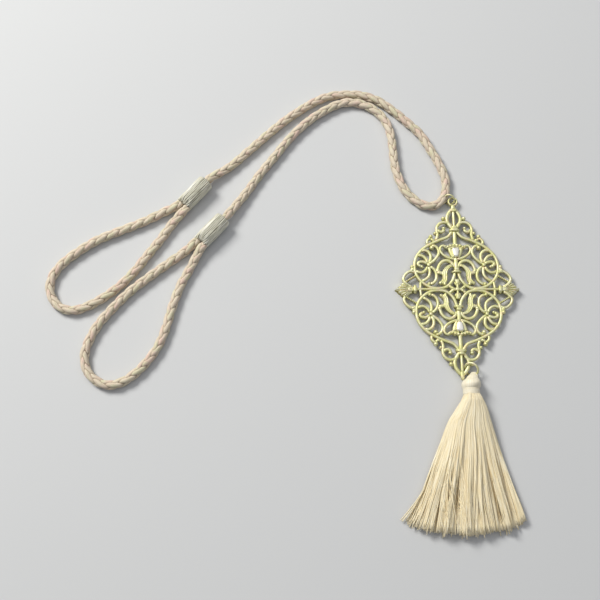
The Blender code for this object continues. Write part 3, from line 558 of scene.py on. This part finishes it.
# Each thread: base, second, third and dark colour, fineness and length of its streaks, roughness.
BRAID_YARN = thread_material(
    "braid yarn", (0.71, 0.63, 0.50, 1), (0.72, 0.56, 0.47, 1), (0.66, 0.63, 0.45, 1),
    (0.26, 0.15, 0.07, 1), 5.0, 0.35, 0.75)
SLEEVE_THREAD = thread_material(
    "sleeve thread", (0.77, 0.76, 0.64, 1), (0.90, 0.89, 0.82, 1), (0.60, 0.58, 0.46, 1),
    (0.24, 0.21, 0.14, 1), 4.0, 0.12, 0.55)
HEAD_THREAD = thread_material(
    "head thread", (0.88, 0.82, 0.66, 1), (0.91, 0.87, 0.74, 1), (0.84, 0.77, 0.58, 1),
    (0.62, 0.53, 0.36, 1), 3.0, 0.06, 0.5)
TASSEL_THREAD = thread_material(
    "tassel thread", (0.89, 0.79, 0.56, 1), (0.93, 0.86, 0.67, 1), (0.84, 0.72, 0.46, 1),
    (0.60, 0.48, 0.28, 1), 3.0, 0.06, 0.5, glow=0.08)
GILT = gilt_material("gilt casting", (0.74, 0.73, 0.39, 1), (0.82, 0.82, 0.55, 1), (0.82, 0.70, 0.46, 1),
                     (0.38, 0.34, 0.11, 1))


# Cords.

def lozenge(across, along):
    """Height of one lozenge: a half-round across it, whose half width and rise shrink with the
    square of the distance along, less a part that grows with the cube of that distance."""
    far = np.abs(along) / LOZENGE_HALF[0]
    width = LOZENGE_HALF[1] * (1.0 - 0.4 * np.minimum(far, 1.2) ** 2)
    over = 1.0 - (across / width) ** 2
    round_top = LOZENGE_RISE * np.sqrt(np.maximum(over, 0.0)) * (1.0 - 0.22 * far**2)
    return np.where(over > 0, round_top - 0.36 * far**3, -1.0)


def braid_surface(line):
    """Grid over distance s along the line and angle round it. Four columns of lozenges stand a
    quarter turn apart, each column half a pitch after the last and tilted the other way. The
    radius is a base plus the highest lozenge there, less a groove that fades with how far that
    one stands above the next highest. Returns the rings, and for each point the lozenge's own
    across, along and number, and the painted shade it gets in a groove or low between lozenges."""
    _, side, up = axes_along(line)
    s = np.arange(len(line))[:, None] * BRAID_STEP
    angle = around(BRAID_SIDES)[None]
    drift = 0.26 * np.sin(s / 31.0) + 0.16 * np.sin(s / 11.3 + 1.0)
    best = np.full((len(s), BRAID_SIDES), -2.0)
    second = best.copy()
    lay = np.zeros((len(s), BRAID_SIDES, 3))
    for column in range(4):
        turn = angle - (column + 0.5) * math.pi / 2 - drift
        x = BRAID_UNROLL * (np.mod(turn + math.pi, 2 * math.pi) - math.pi)
        tilt = LOZENGE_TILT if column % 2 else -LOZENGE_TILT
        start = LOZENGE_PITCH * (column % 2) / 2
        for near in (-1, 0, 1):
            number = np.round((s - start) / LOZENGE_PITCH) + near
            y = s - start - number * LOZENGE_PITCH + 0.35 * np.sin(7.1 * number + 2.0 * column)
            along = y * math.cos(tilt) + x * math.sin(tilt)
            across = x * math.cos(tilt) - y * math.sin(tilt)
            height = lozenge(across, along) + 0.07 * np.sin(12.9 * number + 5.0 * column)
            above = height > best
            second = np.where(above, best, np.maximum(second, height))
            found = np.stack([across, along, column + 4.0 * number + 0 * across], axis=-1)
            lay = np.where(above[..., None], found, lay)
            best = np.maximum(best, height)
    groove = np.exp(-(best - second) / 0.11)
    shadow = np.exp(-(best - second) / 0.2)
    radius = BRAID_BASE + np.maximum(best, 0.0) - 0.24 * groove
    ring = np.cos(angle)[..., None] * side[:, None] + np.sin(angle)[..., None] * up[:, None]
    # Painted shade: darker in the grooves between lozenges and where the surface lies low under their tops.
    groove_shade = held(shadow + held((0.5 - best) / 0.35))
    return line[:, None] + radius[..., None] * ring, lay, groove_shade


def cord(name, route):
    """A braid along the route, narrowed over its last stretch. Its ends stop just short of the
    sleeves' faces, under the sleeves' threads."""
    line = smooth_curve(route, BRAID_STEP)
    rings, lay, groove_shade = braid_surface(line)
    rings[..., 2] = np.maximum(rings[..., 2], 0.05)
    from_end = np.minimum(np.arange(len(line)), np.arange(len(line))[::-1]) * BRAID_STEP
    pinch = (1.0 - PINCH * held(1.0 - from_end / PINCH_LENGTH))[:, None, None]
    rings = line[:, None] + pinch * (rings - line[:, None])
    obj = put(name + "_braid", skin(rings), "braid", BRAID_YARN, name,
              lay=ends_twice(lay, 0).reshape(-1, 3), crease=ends_twice(groove_shade, 0).ravel())


def sleeve_axis(ends):
    """A sleeve's near end, far end and direction on the floor."""
    near, far = np.array(ends[0]), np.array(ends[1])
    return near, far, unit(far - near)


def run_route():
    """The run's route with both ends brought squarely to the sleeves' faces."""
    _, upper, up_along = sleeve_axis(UPPER_SLEEVE)
    _, lower, low_along = sleeve_axis(LOWER_SLEEVE)
    start = [(*(upper + back * up_along), GRIP_Z) for back in GRIP_BACK]
    end = [(*(lower + back * low_along), GRIP_Z) for back in GRIP_BACK]
    return [*start, *RUN_ROUTE, *end[::-1]]


def loop_route(ends, route):
    """The loop's route with its two legs brought side by side to the sleeve's face."""
    near, _, along = sleeve_axis(ends)
    aside = LEG_OFFSET * np.array([-along[1], along[0]])
    start = [(*(near - back * along + aside), GRIP_Z) for back in GRIP_BACK]
    end = [(*(near - back * along - aside), GRIP_Z) for back in GRIP_BACK]
    return [*start, *route, *end[::-1]]


# Sleeves.

def sleeve(name, ends):
    """Threads side by side round the sleeve's axis, over a core. A thread keeps its angle and its
    distance from the axis but for slow sines, and curls in over the far end. At the near end it
    closes down to a superellipse over the two legs and stops at its own ragged place. The core
    is an ellipse carried along the axis, flat between the legs and round from there on."""
    near, far, along = sleeve_axis(ends)
    length = np.linalg.norm(far - near)
    near3, along3 = np.array([*near, SLEEVE_AXIS_Z]), np.array([*along, 0.0])
    side3, up3 = np.array([along[1], -along[0], 0.0]), np.array([0.0, 0.0, 1.0])

    which = np.arange(SLEEVE_THREADS)[:, None]
    one_each = which.shape
    apart = 2 * math.pi / SLEEVE_THREADS
    start = 0.7 * np.cos(which * apart - 0.6) - 0.5 + rng.uniform(-1.1, 0.3, one_each)
    at = start + np.linspace(0.0, 1.0, SLEEVE_STATIONS) * (length - 0.1 - start)
    phase = rng.uniform(0, 6.28, one_each)
    turn = apart * (which + 0.1 * np.sin(at / 4.1 + phase) + 0.04 * np.sin(at / 1.3 + 2 * phase))
    curl = held((at - (length - END_CURL)) / END_CURL)
    ease = eased(1.0 - (at - start) / MOUTH_REACH)
    wide, tall = np.abs(np.cos(turn)) / MOUTH_HALF[0], np.abs(np.sin(turn)) / MOUTH_HALF[1]
    over_legs = (wide**3 + tall**3) ** (-1.0 / 3.0) + rng.uniform(-0.12, 0.2, one_each)
    radius = THREADS_LIE_AT + 0.07 * np.sin(at / 2.3 + 1.7 * phase)
    radius -= 1.1 * (1 - np.sqrt(1 - 0.96 * curl**2))
    radius += rng.uniform(-0.09, 0.09, one_each)
    radius += ease * (over_legs - radius)
    spoke = np.cos(turn)[..., None] * side3 + np.sin(turn)[..., None] * up3
    lines = near3 + at[..., None] * along3 + radius[..., None] * spoke
    lines[..., 2] = np.maximum(lines[..., 2], 0.28)
    thick = (SLEEVE_THREAD_R + 0.03 * np.sin(at / 1.1 + phase)) * rng.uniform(0.88, 1.08, one_each)
    threads = tubes(lines, thick * (1.0 - 0.3 * ease), SLEEVE_SIDES)
    # Painted shade: the threads' flanks down in the grooves between them are drawn darker, and each thread
    # adds a random darker tone of its own.
    from_axis = np.linalg.norm(np.cross(threads[0] - near3, along3), axis=1).reshape(SLEEVE_THREADS, -1)
    sunk = ends_twice(radius, 1).repeat(SLEEVE_SIDES, axis=1) - from_axis
    groove = held((sunk + 0.16) / 0.3) * (1.0 - ends_twice(ease, 1).repeat(SLEEVE_SIDES, axis=1))
    groove += 0.25 * rng.uniform(0.0, 1.0, one_each) ** 2

    # The core's sections: place along, half width, half height.
    rows = np.array((
        (-0.2, 0.3, 0.2), (-0.3, 3.4, 1.7), (0.2, 3.7, 2.05), (1.4, 3.8, 2.8), (2.6, 3.9, 3.7),
        (4.0, CORE_R, CORE_R), (length - 1.2, CORE_R, CORE_R), (length - 0.5, 3.5, 3.5),
        (length - 0.35, 2.6, 2.6), (length - 0.4, 0.4, 0.4),
    ))
    a, wide, tall = (rows[:, k, None, None] for k in range(3))
    angles = around(CORE_SIDES)[:, None]
    core = skin(near3 + a * along3 + wide * np.cos(angles) * side3 + tall * np.sin(angles) * up3)
    core_along = (core[0] - near3) @ along3
    core_across = np.tile(np.arange(CORE_SIDES) * 0.7, len(rows) + 2)
    core_lay = np.stack([core_across, core_along, 0 * core_along], axis=1)
    # Painted shade: the core is drawn darker further in, where it shows between the threads.
    core_painted_shade = np.clip((core_along - 0.4) / 3.0, 0.0, 0.85)
    put(name + "_threads", together([threads, core]), "wound_thread", SLEEVE_THREAD, name,
        lay=np.vstack([tube_lay(at, SLEEVE_SIDES, 0.26, 0.61), core_lay]),
        crease=np.concatenate([groove.ravel(), core_painted_shade]))


# Pendant.

def ribbon(line, half, top, groove=0.0, sides=13):
    """A bar with a flat back along a line in the plane, half wide either side of it: the section
    is a superellipse cut low on its sides, less a groove either side of the middle whose depth is a
    narrow bell curve across. Both ends are rounded by drawing the last sections in."""
    along = unit(np.gradient(line, axis=0))
    left = np.stack([-along[:, 1], along[:, 0]], axis=1)
    angles = np.linspace(-0.15 * math.pi, 1.15 * math.pi, sides)
    across = powered(np.cos(angles), 0.8)
    rise = powered(np.sin(angles), 0.6)
    low = BAR_Z[0]
    middle = low + 0.34 * (top - low)
    z = np.where(rise > 0, middle + rise * (top - middle), middle + rise / 0.575 * (middle - low))
    z = z - groove * np.exp(-(((np.abs(across) - 0.36) / 0.17) ** 2)) * (rise > 0)
    size = np.ones(len(line))
    size[[0, -1]] = 0.55
    size[[1, -2]] = 0.9
    rings = np.empty((len(line), sides, 3))
    rings[..., :2] = line[:, None] + (half * size)[:, None, None] * across[:, None] * left[:, None]
    rings[..., 2] = low + (z - low)[None] * (0.3 + 0.7 * size[:, None])
    return skin(rings)


def dome(x, y, radius, low, high, sides=16):
    """A round bead: straight up from low, then a quarter circle over to its top at high."""
    climb = np.array([0.0, 0.35, 0.62, 0.82, 0.94, 0.99])
    reach = radius * np.concatenate([[1.0], np.sqrt(1 - climb**2)])
    heights = low + (high - low) * np.concatenate([[0.0], 0.35 + 0.65 * climb])
    angles = around(sides)
    rings = np.empty((len(heights), sides, 3))
    rings[..., 0] = x + reach[:, None] * np.cos(angles)
    rings[..., 1] = y + reach[:, None] * np.sin(angles)
    rings[..., 2] = heights[:, None]
    return skin(rings)


def pillow(x, y, half_w, half_h, low, high, waist=0.0):
    """A raised block on a superellipse outline with a domed top. Its half width grows by the
    waist towards the far end of y, and shrinks by it towards the near end."""
    angles = around(32)
    cx, cy = powered(np.cos(angles), 0.6), powered(np.sin(angles), 0.6)
    rows = np.array(((0.0, 1.0), (0.74, 1.0), (0.89, 0.96), (0.97, 0.87), (1.0, 0.68)))
    climb, share = rows[:, :1], rows[:, 1:]
    widened = 1.0 + waist * cy
    rings = np.stack([x + half_w * share * cx * widened, y + half_h * share * cy,
                      low + climb * (high - low) + 0 * cx], axis=-1)
    return skin(rings)


def petal(root, tip, half, low, high, crest=0.35):
    """A ridged leaf from root to tip. Its half width grows as a sine of the way along and closes
    with a rounded tip, and the section peaks in a rounded ridge between hollow flanks."""
    root, tip = np.array(root, float), np.array(tip, float)
    out = unit(tip - root)
    aside = np.array([-out[1], out[0]])
    share = np.linspace(0.0, 1.0, 13)
    width = half * (0.2 + 0.8 * np.sin(share**0.9 * math.pi * 0.56))
    width *= np.sqrt(np.maximum(0.03, 1 - share**9))
    across = np.array([1.0, 0.98, 0.72, 0.42, 0.2, 0.0, -0.2, -0.42, -0.72, -0.98, -1.0])
    crown = np.array([0.0, 0.6, 0.76, 0.88, 0.97, 1.0, 0.97, 0.88, 0.76, 0.6, 0.0])
    middle = root + share[:, None] * (tip - root)
    top = high - 0.25 * (1 - share) - crest * share**6
    rings = np.empty((13, 11, 3))
    rings[..., :2] = middle[:, None] + (width[:, None] * across)[..., None] * aside
    rings[..., 2] = low + crown * (top - low)[:, None]
    return skin(rings)


def palmette():
    """A fan on polar coordinates round its root: the outline runs straight from the tip to the
    corner, scalloped a little, and down the sides to the neck. The height is a row of broad
    lobes that share one angle, parted by narrow grooves, which rises from the neck and is
    rounded off at the edge."""
    angles = np.linspace(-PALMETTE_SIDE, PALMETTE_SIDE, 113)
    corner_x, corner_y = PALMETTE_CORNER[0] - PALMETTE_ROOT, PALMETTE_CORNER[1]
    slope = corner_y / (PALMETTE_TIP - PALMETTE_CORNER[0])
    edge = slope * (PALMETTE_TIP - PALMETTE_ROOT) / (np.sin(np.abs(angles)) + slope * np.cos(angles))
    turn = math.atan2(corner_y, corner_x)
    corner_reach = math.hypot(corner_x, corner_y)
    inward = np.interp(np.abs(angles), (turn, PALMETTE_SIDE), (corner_reach, PALMETTE_NECK))
    lobes = np.abs(np.cos(math.pi * angles / PALMETTE_LOBE))
    reach = np.where(np.abs(angles) > turn, inward, edge)
    reach = reach * (1.0 - PALMETTE_SCALLOP + PALMETTE_SCALLOP * lobes**0.5)
    share = np.linspace(0.08, 1.0, 15)
    crown = (0.86 + 0.14 * share) * np.sqrt(np.maximum(0.0, 1.0 - share**14)) ** 0.7
    grooves = (1.0 - lobes[:, None] ** 0.55) * held(share / 0.3)
    high = np.maximum((BOSS_TOP + 0.35) * crown * (1.0 - PALMETTE_RELIEF * grooves), 0.3)
    share = np.concatenate([share, [1.0, 0.08]])
    high = np.concatenate([high, np.zeros((len(angles), 2))], axis=1)
    far = reach[:, None] * share
    x = PALMETTE_ROOT + far * np.cos(angles)[:, None]
    return outward(skin(np.stack([x, far * np.sin(angles)[:, None], high], axis=-1)))


def pendant():
    """Bars, leaves, beads and bosses, a quarter mirrored into the rest, with the palmettes on one
    middle line and the buds, eye and tapered bars on the other. The buds get a near-white painted
    highlight, and the palmettes' ridges a paler painted highlight."""
    top = BAR_Z[1]
    quarter = []
    for _, width, knots in SCROLLS:
        line = smooth_curve(knots, 0.45)
        quarter.append(ribbon(line, np.full(len(line), BAR_SPREAD * width / 2), top))
    for _, width, start, end in STRAIGHT_BARS:
        quarter.append(ribbon(np.linspace(start, end, 14), np.full(14, width / 2), top + 0.2))
    for name, knots in LEAVES.items():
        line = smooth_curve(knots, 0.4)
        groove = 0.5 if name == "acanthus" else 0.0
        quarter.append(ribbon(line[:, :2], line[:, 2], top + 0.35, groove, 21))
    for _, x, y, radius, above in BEADS:
        quarter.append(dome(x, y, radius, BAR_Z[0], top + above))
    for name, x, y, half_w, half_h, waist in BOSSES:
        high = BOSS_TOP + (0.25 if "collar" in name else -0.45)
        quarter.append(pillow(x, y, half_w, half_h, 0.0, high, waist))
    for root, tip, half in LEAF_TIPS:
        quarter.append(petal(root, tip, half, BAR_Z[0], top + 0.35))
    bud = pillow(*BUD_AT, *BUD_HALF, 0.0, BOSS_TOP + 0.45, BUD_WAIST)
    ways = [(sx, sy) for sx in (1, -1) for sy in (1, -1)]
    parts = [mirrored(bud, 1, sy) for sy in (1, -1)]
    polished = sum(len(points) for points, _ in parts)
    parts += [mirrored(p, sx, sy) for sx, sy in ways for p in quarter]
    parts += [mirrored(palmette(), sx, 1) for sx in (1, -1)]
    turn = np.linspace(0.0, 2 * math.pi, 61)
    eye = np.array(EYE_AT) + EYE_R * np.stack([np.sin(turn), np.cos(turn)], axis=1)
    parts.append(ribbon(eye, np.full(len(turn), EYE_BAR), top))
    parts.append(pillow(*EYE_COLLAR, BAR_Z[0], top + 0.6))
    for start, end, halves, above in TAPERS:
        parts.append(ribbon(np.linspace(start, end, 8), np.linspace(*halves, 8), top + above))
    points, quads = together(parts)
    # Painted highlight: full on the buds, and on the palmettes growing with the height of their ridges.
    on_palmettes = np.abs(points[:, 0]) > PALMETTE_ROOT
    polish = 0.45 * on_palmettes * held((points[:, 2] - HIGHLIGHT_Z[0]) / (HIGHLIGHT_Z[1] - HIGHLIGHT_Z[0]))
    polish[:polished] = 1.0
    put("pendant_casting", (points, quads), "gilt_casting", GILT, "pendant", polish=polish)


def wire_ring(name):
    """A closed ring of round wire: a small circle carried round the tilted large one."""
    centre, radius, wire, low_at, tilt = RINGS[name]
    low = np.array([math.cos(low_at) * math.cos(tilt), math.sin(low_at) * math.cos(tilt), -math.sin(tilt)])
    level = np.array([-math.sin(low_at), math.cos(low_at), 0.0])
    turn = around(RING_STEPS)
    out = np.outer(np.cos(turn), low) + np.outer(np.sin(turn), level)
    angles = around(WIRE_SIDES)
    normal = np.cross(low, level)
    tube = np.cos(angles)[None, :, None] * out[:, None] - np.sin(angles)[None, :, None] * normal
    points = (np.array(centre) + radius * out[:, None] + wire * tube).reshape(-1, 3)
    corner = np.arange(RING_STEPS * WIRE_SIDES).reshape(RING_STEPS, WIRE_SIDES)
    quads = ring_quads(corner, np.roll(corner, -1, 0))
    put(name + "_wire", (points, quads), "gilt_wire", GILT, name, polish=np.full(len(points), 0.15))


# Tassel.

def tassel_head():
    """The bulb: upright rings on a smooth curve through the head's rows. Their radius has shallow
    lengthwise ridges, where the threads lie, and wanders by a sine of three waves round."""
    rows = smooth_curve(HEAD_ROWS, 0.35)
    y, x, radius, z = (rows[:, k, None] for k in range(4))
    angles = around(HEAD_SIDES)
    ridge = 1.0 + 0.012 * np.cos(angles * HEAD_RIDGES)
    reach = radius * (ridge + 0.03 * np.sin(3 * angles + 0.7) * np.sin(0.5 * y))
    rings = np.stack([x + reach * np.cos(angles), y + 0 * reach, z + reach * np.sin(angles)], axis=-1)
    points, quads = skin(rings)
    # Painted shade: the grooves between the ridges are drawn darker.
    once = angles * 4.5, np.arange(HEAD_SIDES) // 2 * 0.37, 0.15 - 0.15 * np.cos(angles * HEAD_RIDGES)
    across, strand, crease = (np.tile(values, len(rows) + 2) for values in once)
    lay = np.stack([across, points[:, 1], strand], axis=1)
    put("tassel_bulb", (points, quads[:, ::-1]), "tassel_thread", HEAD_THREAD, lay=lay, crease=crease)


def binding():
    """Thread wound round the neck: a small circle carried along a helix of close turns."""
    t = np.linspace(0.0, 2 * math.pi * WINDING_TURNS, WINDING_TURNS * 40)
    out = np.stack([np.cos(t), 0 * t, np.sin(t)], axis=1)
    axis = np.stack([WINDING_AXIS[0] + 0 * t, WINDING_TOP - WINDING_PITCH * t / (2 * math.pi),
                     WINDING_AXIS[1] + 0 * t], axis=1)
    line = axis + WINDING_R * out
    flat = np.cross(unit(np.gradient(line, axis=0)), out)
    angles = around(WINDING_SIDES)[None, :, None]
    spokes = np.cos(angles) * out[:, None] - np.sin(angles) * flat[:, None]
    points, quads = skin(line[:, None] + WINDING_THREAD_R * spokes)
    lay = np.zeros((len(points), 3))
    lay[:, 0] = np.tile(angles.ravel() * WINDING_THREAD_R, len(t) + 2)
    lay[:, 1] = np.repeat(ends_twice(t, 0) * 4.1, WINDING_SIDES)
    put("neck_winding", (points, quads), "tassel_thread", HEAD_THREAD, "tassel_binding",
        lay=lay, crease=np.zeros(len(points)))


def waves(table, across, share):
    """The sum of the table's sines of the place across and the share of length."""
    return sum(size * np.sin(over * across + along * share + phase) for size, over, along, phase in table)


def skirt_lines(q, v, length, drift, wobble, phase):
    """Middle lines of threads, the share of length at their points, and how much painted shade
    each point gets in the creases. q is the place across and v the layer from below to above,
    both from -1 to 1.
    Across, a thread keeps its share of the skirt's half width, drifts with the square of the way
    along, and sways by sines that it shares with its neighbours and by one of its own. Near the
    hem the left edge fans out. In height it eases from its place in the round neck to its layer
    of a bed, whose section is part of an ellipse with its top left of the middle, with ridges by
    three sines and valleys of bell-shaped section. The higher a layer, the more it shows them."""
    share = (np.linspace(0.0, 1.0, SKIRT_STATIONS) ** 0.9)[None]
    table = smooth_curve(SKIRT_ROWS, 0.5)
    middle, half, thick = (np.interp(share, table[:, 0], table[:, k]) for k in (1, 2, 3))
    q, v, length, drift, wobble, phase = (a[:, None] for a in (q, v, length, drift, wobble, phase))
    across = q + drift * held((share - 0.3) / 0.7) ** 2
    loose = held(share * 1.6) ** 1.3
    inside = held(1.0 - across**4)
    x = middle + np.clip(across, -1.0, 1.0) * half + loose * inside * waves(SKIRT_SWAYS, across, share)
    x = x + loose * wobble * np.sin(4.0 * share + phase)
    fan_at, fan_reach, fan_from = SKIRT_FAN
    outer = np.clip((-across - fan_at) / (1.0 - fan_at), 0.0, 2.0)
    x = x - fan_reach * outer * held((share - fan_from) / (1.0 - fan_from)) ** 1.4

    round_z = NECK_Z + v * NECK_R * np.sqrt(np.maximum(0.0, 1.0 - 0.92 * q**2))
    lopsided = across + 0.2 * (1.0 - across**2)
    crown = np.sqrt(np.maximum(0.0, 1.0 - 0.86 * np.minimum(lopsided**2, 1.0)))
    layer = 0.5 + 0.5 * v
    bed = BED_Z + layer * thick * crown
    # Painted shade: sunk grows in the valleys and in the ridges' troughs, for darker creases.
    sunk = 0.0
    for place_at, depth, opens, closes in SKIRT_VALLEYS:
        wander = 0.03 * np.sin(5.0 * share + 9.0 * place_at)
        bell = np.exp(-(((across - place_at + wander) / VALLEY_HALF) ** 2))
        bell = bell * held((share - opens) / 0.25) * held((closes - share) / 0.15)
        bed = bed - depth * layer * bell
        sunk = sunk + bell * min(depth, VALLEY_DARKEST) / VALLEY_DARKEST
    ridges = waves(SKIRT_RIDGES, across, share)
    bed = bed + loose * layer * ridges
    sunk = held(sunk + 0.35 * loose * held(-ridges - 0.2))
    settle = eased((share - 0.04) / 0.5)
    z = (1 - settle) * round_z + settle * bed + 0.15 * loose * np.sin(7.0 * share + 2.0 * phase)
    return np.stack([x, NECK_Y - share * length + 0 * x, z], axis=-1), share, sunk


def skirt(name, q, v, seed, *nodes, lean=0.0, drift=0.03, wobble=0.36, sides=6, shade=0.0, longer=0.0):
    """One layer of the skirt's threads, at places q across and between the layers v. Their length
    falls with the place across as the hem's numbers say, and varies, and one in fifty is much
    longer. lean is how far they drift across on average, drift and wobble are how far they stray
    from that, as standard deviations, shade is the painted shade of the whole layer, for a layer
    that lies under others, and longer is how far it hangs below the top layer. The creases get
    painted shade as well, and all of it fades out towards the cut ends."""
    draw = np.random.default_rng(seed)
    count = len(q)
    q = q + draw.uniform(-2.0, 2.0, count) / count
    reach = np.minimum(np.abs(q), 1.0)
    length = SKIRT_LENGTH + longer - HEM_SLOPE * np.maximum(q, HEM_SLOPE_FROM)
    length += draw.normal(0.0, 0.42, count) - HEM_ARCH * reach**0.9 - HEM_CORNER * reach**8
    length += np.where(draw.uniform(size=count) < 0.02, draw.uniform(1.2, 3.0, count), 0.0)
    lines, share, sunk = skirt_lines(q, draw.uniform(*v, count), length, draw.normal(lean, drift, count),
                                     draw.normal(0.0, wobble, count), draw.uniform(0.0, 6.28, count))
    lines[..., 2] = np.maximum(lines[..., 2], THREAD_R + 0.02)
    radii = THREAD_R * (1.0 - 0.08 * share) * draw.uniform(0.85, 1.12, (count, 1))
    # The painted shade fades out over the last tenth towards the cut ends.
    tip = held((share - 0.9) / 0.08)
    dark = (shade + (PAINTED_CREASE_SHADE - shade) * sunk) * (1.0 - 0.85 * tip)
    put(name, tubes(lines, radii, sides), "tassel_thread", TASSEL_THREAD, *nodes,
        lay=tube_lay(lines[..., 1], sides, 0.3, 0.73),
        crease=ends_twice(dark, 1).repeat(sides, axis=1).ravel())


# Camera, floor and light.

def turned(at, aim):
    """The turn with which a camera or lamp at one place faces another."""
    return (Vector(aim) - Vector(at)).to_track_quat("-Z", "Y").to_euler()


def camera():
    """The photo's camera: its place, direction and focal length."""
    data = bpy.data.cameras.new("camera")
    data.lens, data.sensor_width = LENS, 36.0
    data.clip_start, data.clip_end = 0.01, 20.0
    obj = add("camera", data)
    obj.location = Vector(CAMERA_AT) * MM
    obj.rotation_euler = turned(CAMERA_AT, CAMERA_AIM)
    bpy.context.scene.camera = obj


def area(name, at, size, power, colour):
    """A round lamp that faces the middle of the tieback."""
    data = bpy.data.lights.new(name, "AREA")
    data.shape, data.size = "DISK", size
    data.energy, data.color = power, colour
    obj = add(name, data)
    obj.location = at
    obj.rotation_euler = turned(at, LIGHTS_AIM)


def floor():
    """The plain pale floor."""
    mesh = bpy.data.meshes.new("floor")
    mesh.from_pydata([(-3, -3, 0), (3, -3, 0), (3, 3, 0), (-3, 3, 0)], [], [(0, 1, 2, 3)])
    obj = add("floor", mesh)
    made, tree, shader = start_material("pale floor")
    feed(tree, shader, Base_Color=(0.58, 0.59, 0.6, 1), Roughness=0.9)
    mesh.materials.append(made)


camera()
cord("cord_run", run_route())
cord("end_loop_upper", loop_route(UPPER_SLEEVE, UPPER_LOOP_ROUTE))
cord("end_loop_lower", loop_route(LOWER_SLEEVE, LOWER_LOOP_ROUTE))
sleeve("sleeve_upper", UPPER_SLEEVE)
sleeve("sleeve_lower", LOWER_SLEEVE)
pendant()
wire_ring("cord_ring")
wire_ring("tassel_ring")
tassel_head()
binding()
skirt("skirt_top", np.linspace(-1.0, 1.0, 360), (0.92, 1.0), 3, "tassel")
# The lower layers get painted shade, as they lie under the top layer.
skirt("skirt_middle", np.linspace(-0.98, 0.98, 260), (0.2, 0.85), 4, sides=5, shade=0.5, longer=0.7)
skirt("skirt_under", np.linspace(-0.96, 0.96, 190), (-1.0, 0.2), 5, sides=5, shade=0.5, longer=0.4)
skirt("skirt_strays", np.linspace(-0.66, -0.3, 22), (1.02, 1.14), 6, lean=0.38, drift=0.1, wobble=0.5)
stray_edges = np.concatenate([np.linspace(-1.02, -1.26, 6), np.linspace(-0.2, 0.9, 12), [1.0]])
skirt("skirt_edge_strays", stray_edges, (0.98, 1.04), 7, drift=0.05, wobble=0.4)
floor()
area("key", (-0.92, 0.72, 1.02), 0.6, 23.5, (1.0, 0.98, 0.93))
area("overhead", (0.15, 0.2, 1.5), 2.4, 7.6, (1.0, 1.0, 1.0))
world = bpy.data.worlds.new("studio")
world.use_nodes = True
sky = world.node_tree.nodes["Background"]
feed(world.node_tree, sky, Color=(0.93, 0.95, 1.0, 1), Strength=0.24)
bpy.context.scene.world = world
bpy.context.scene.view_settings.view_transform = "Standard"
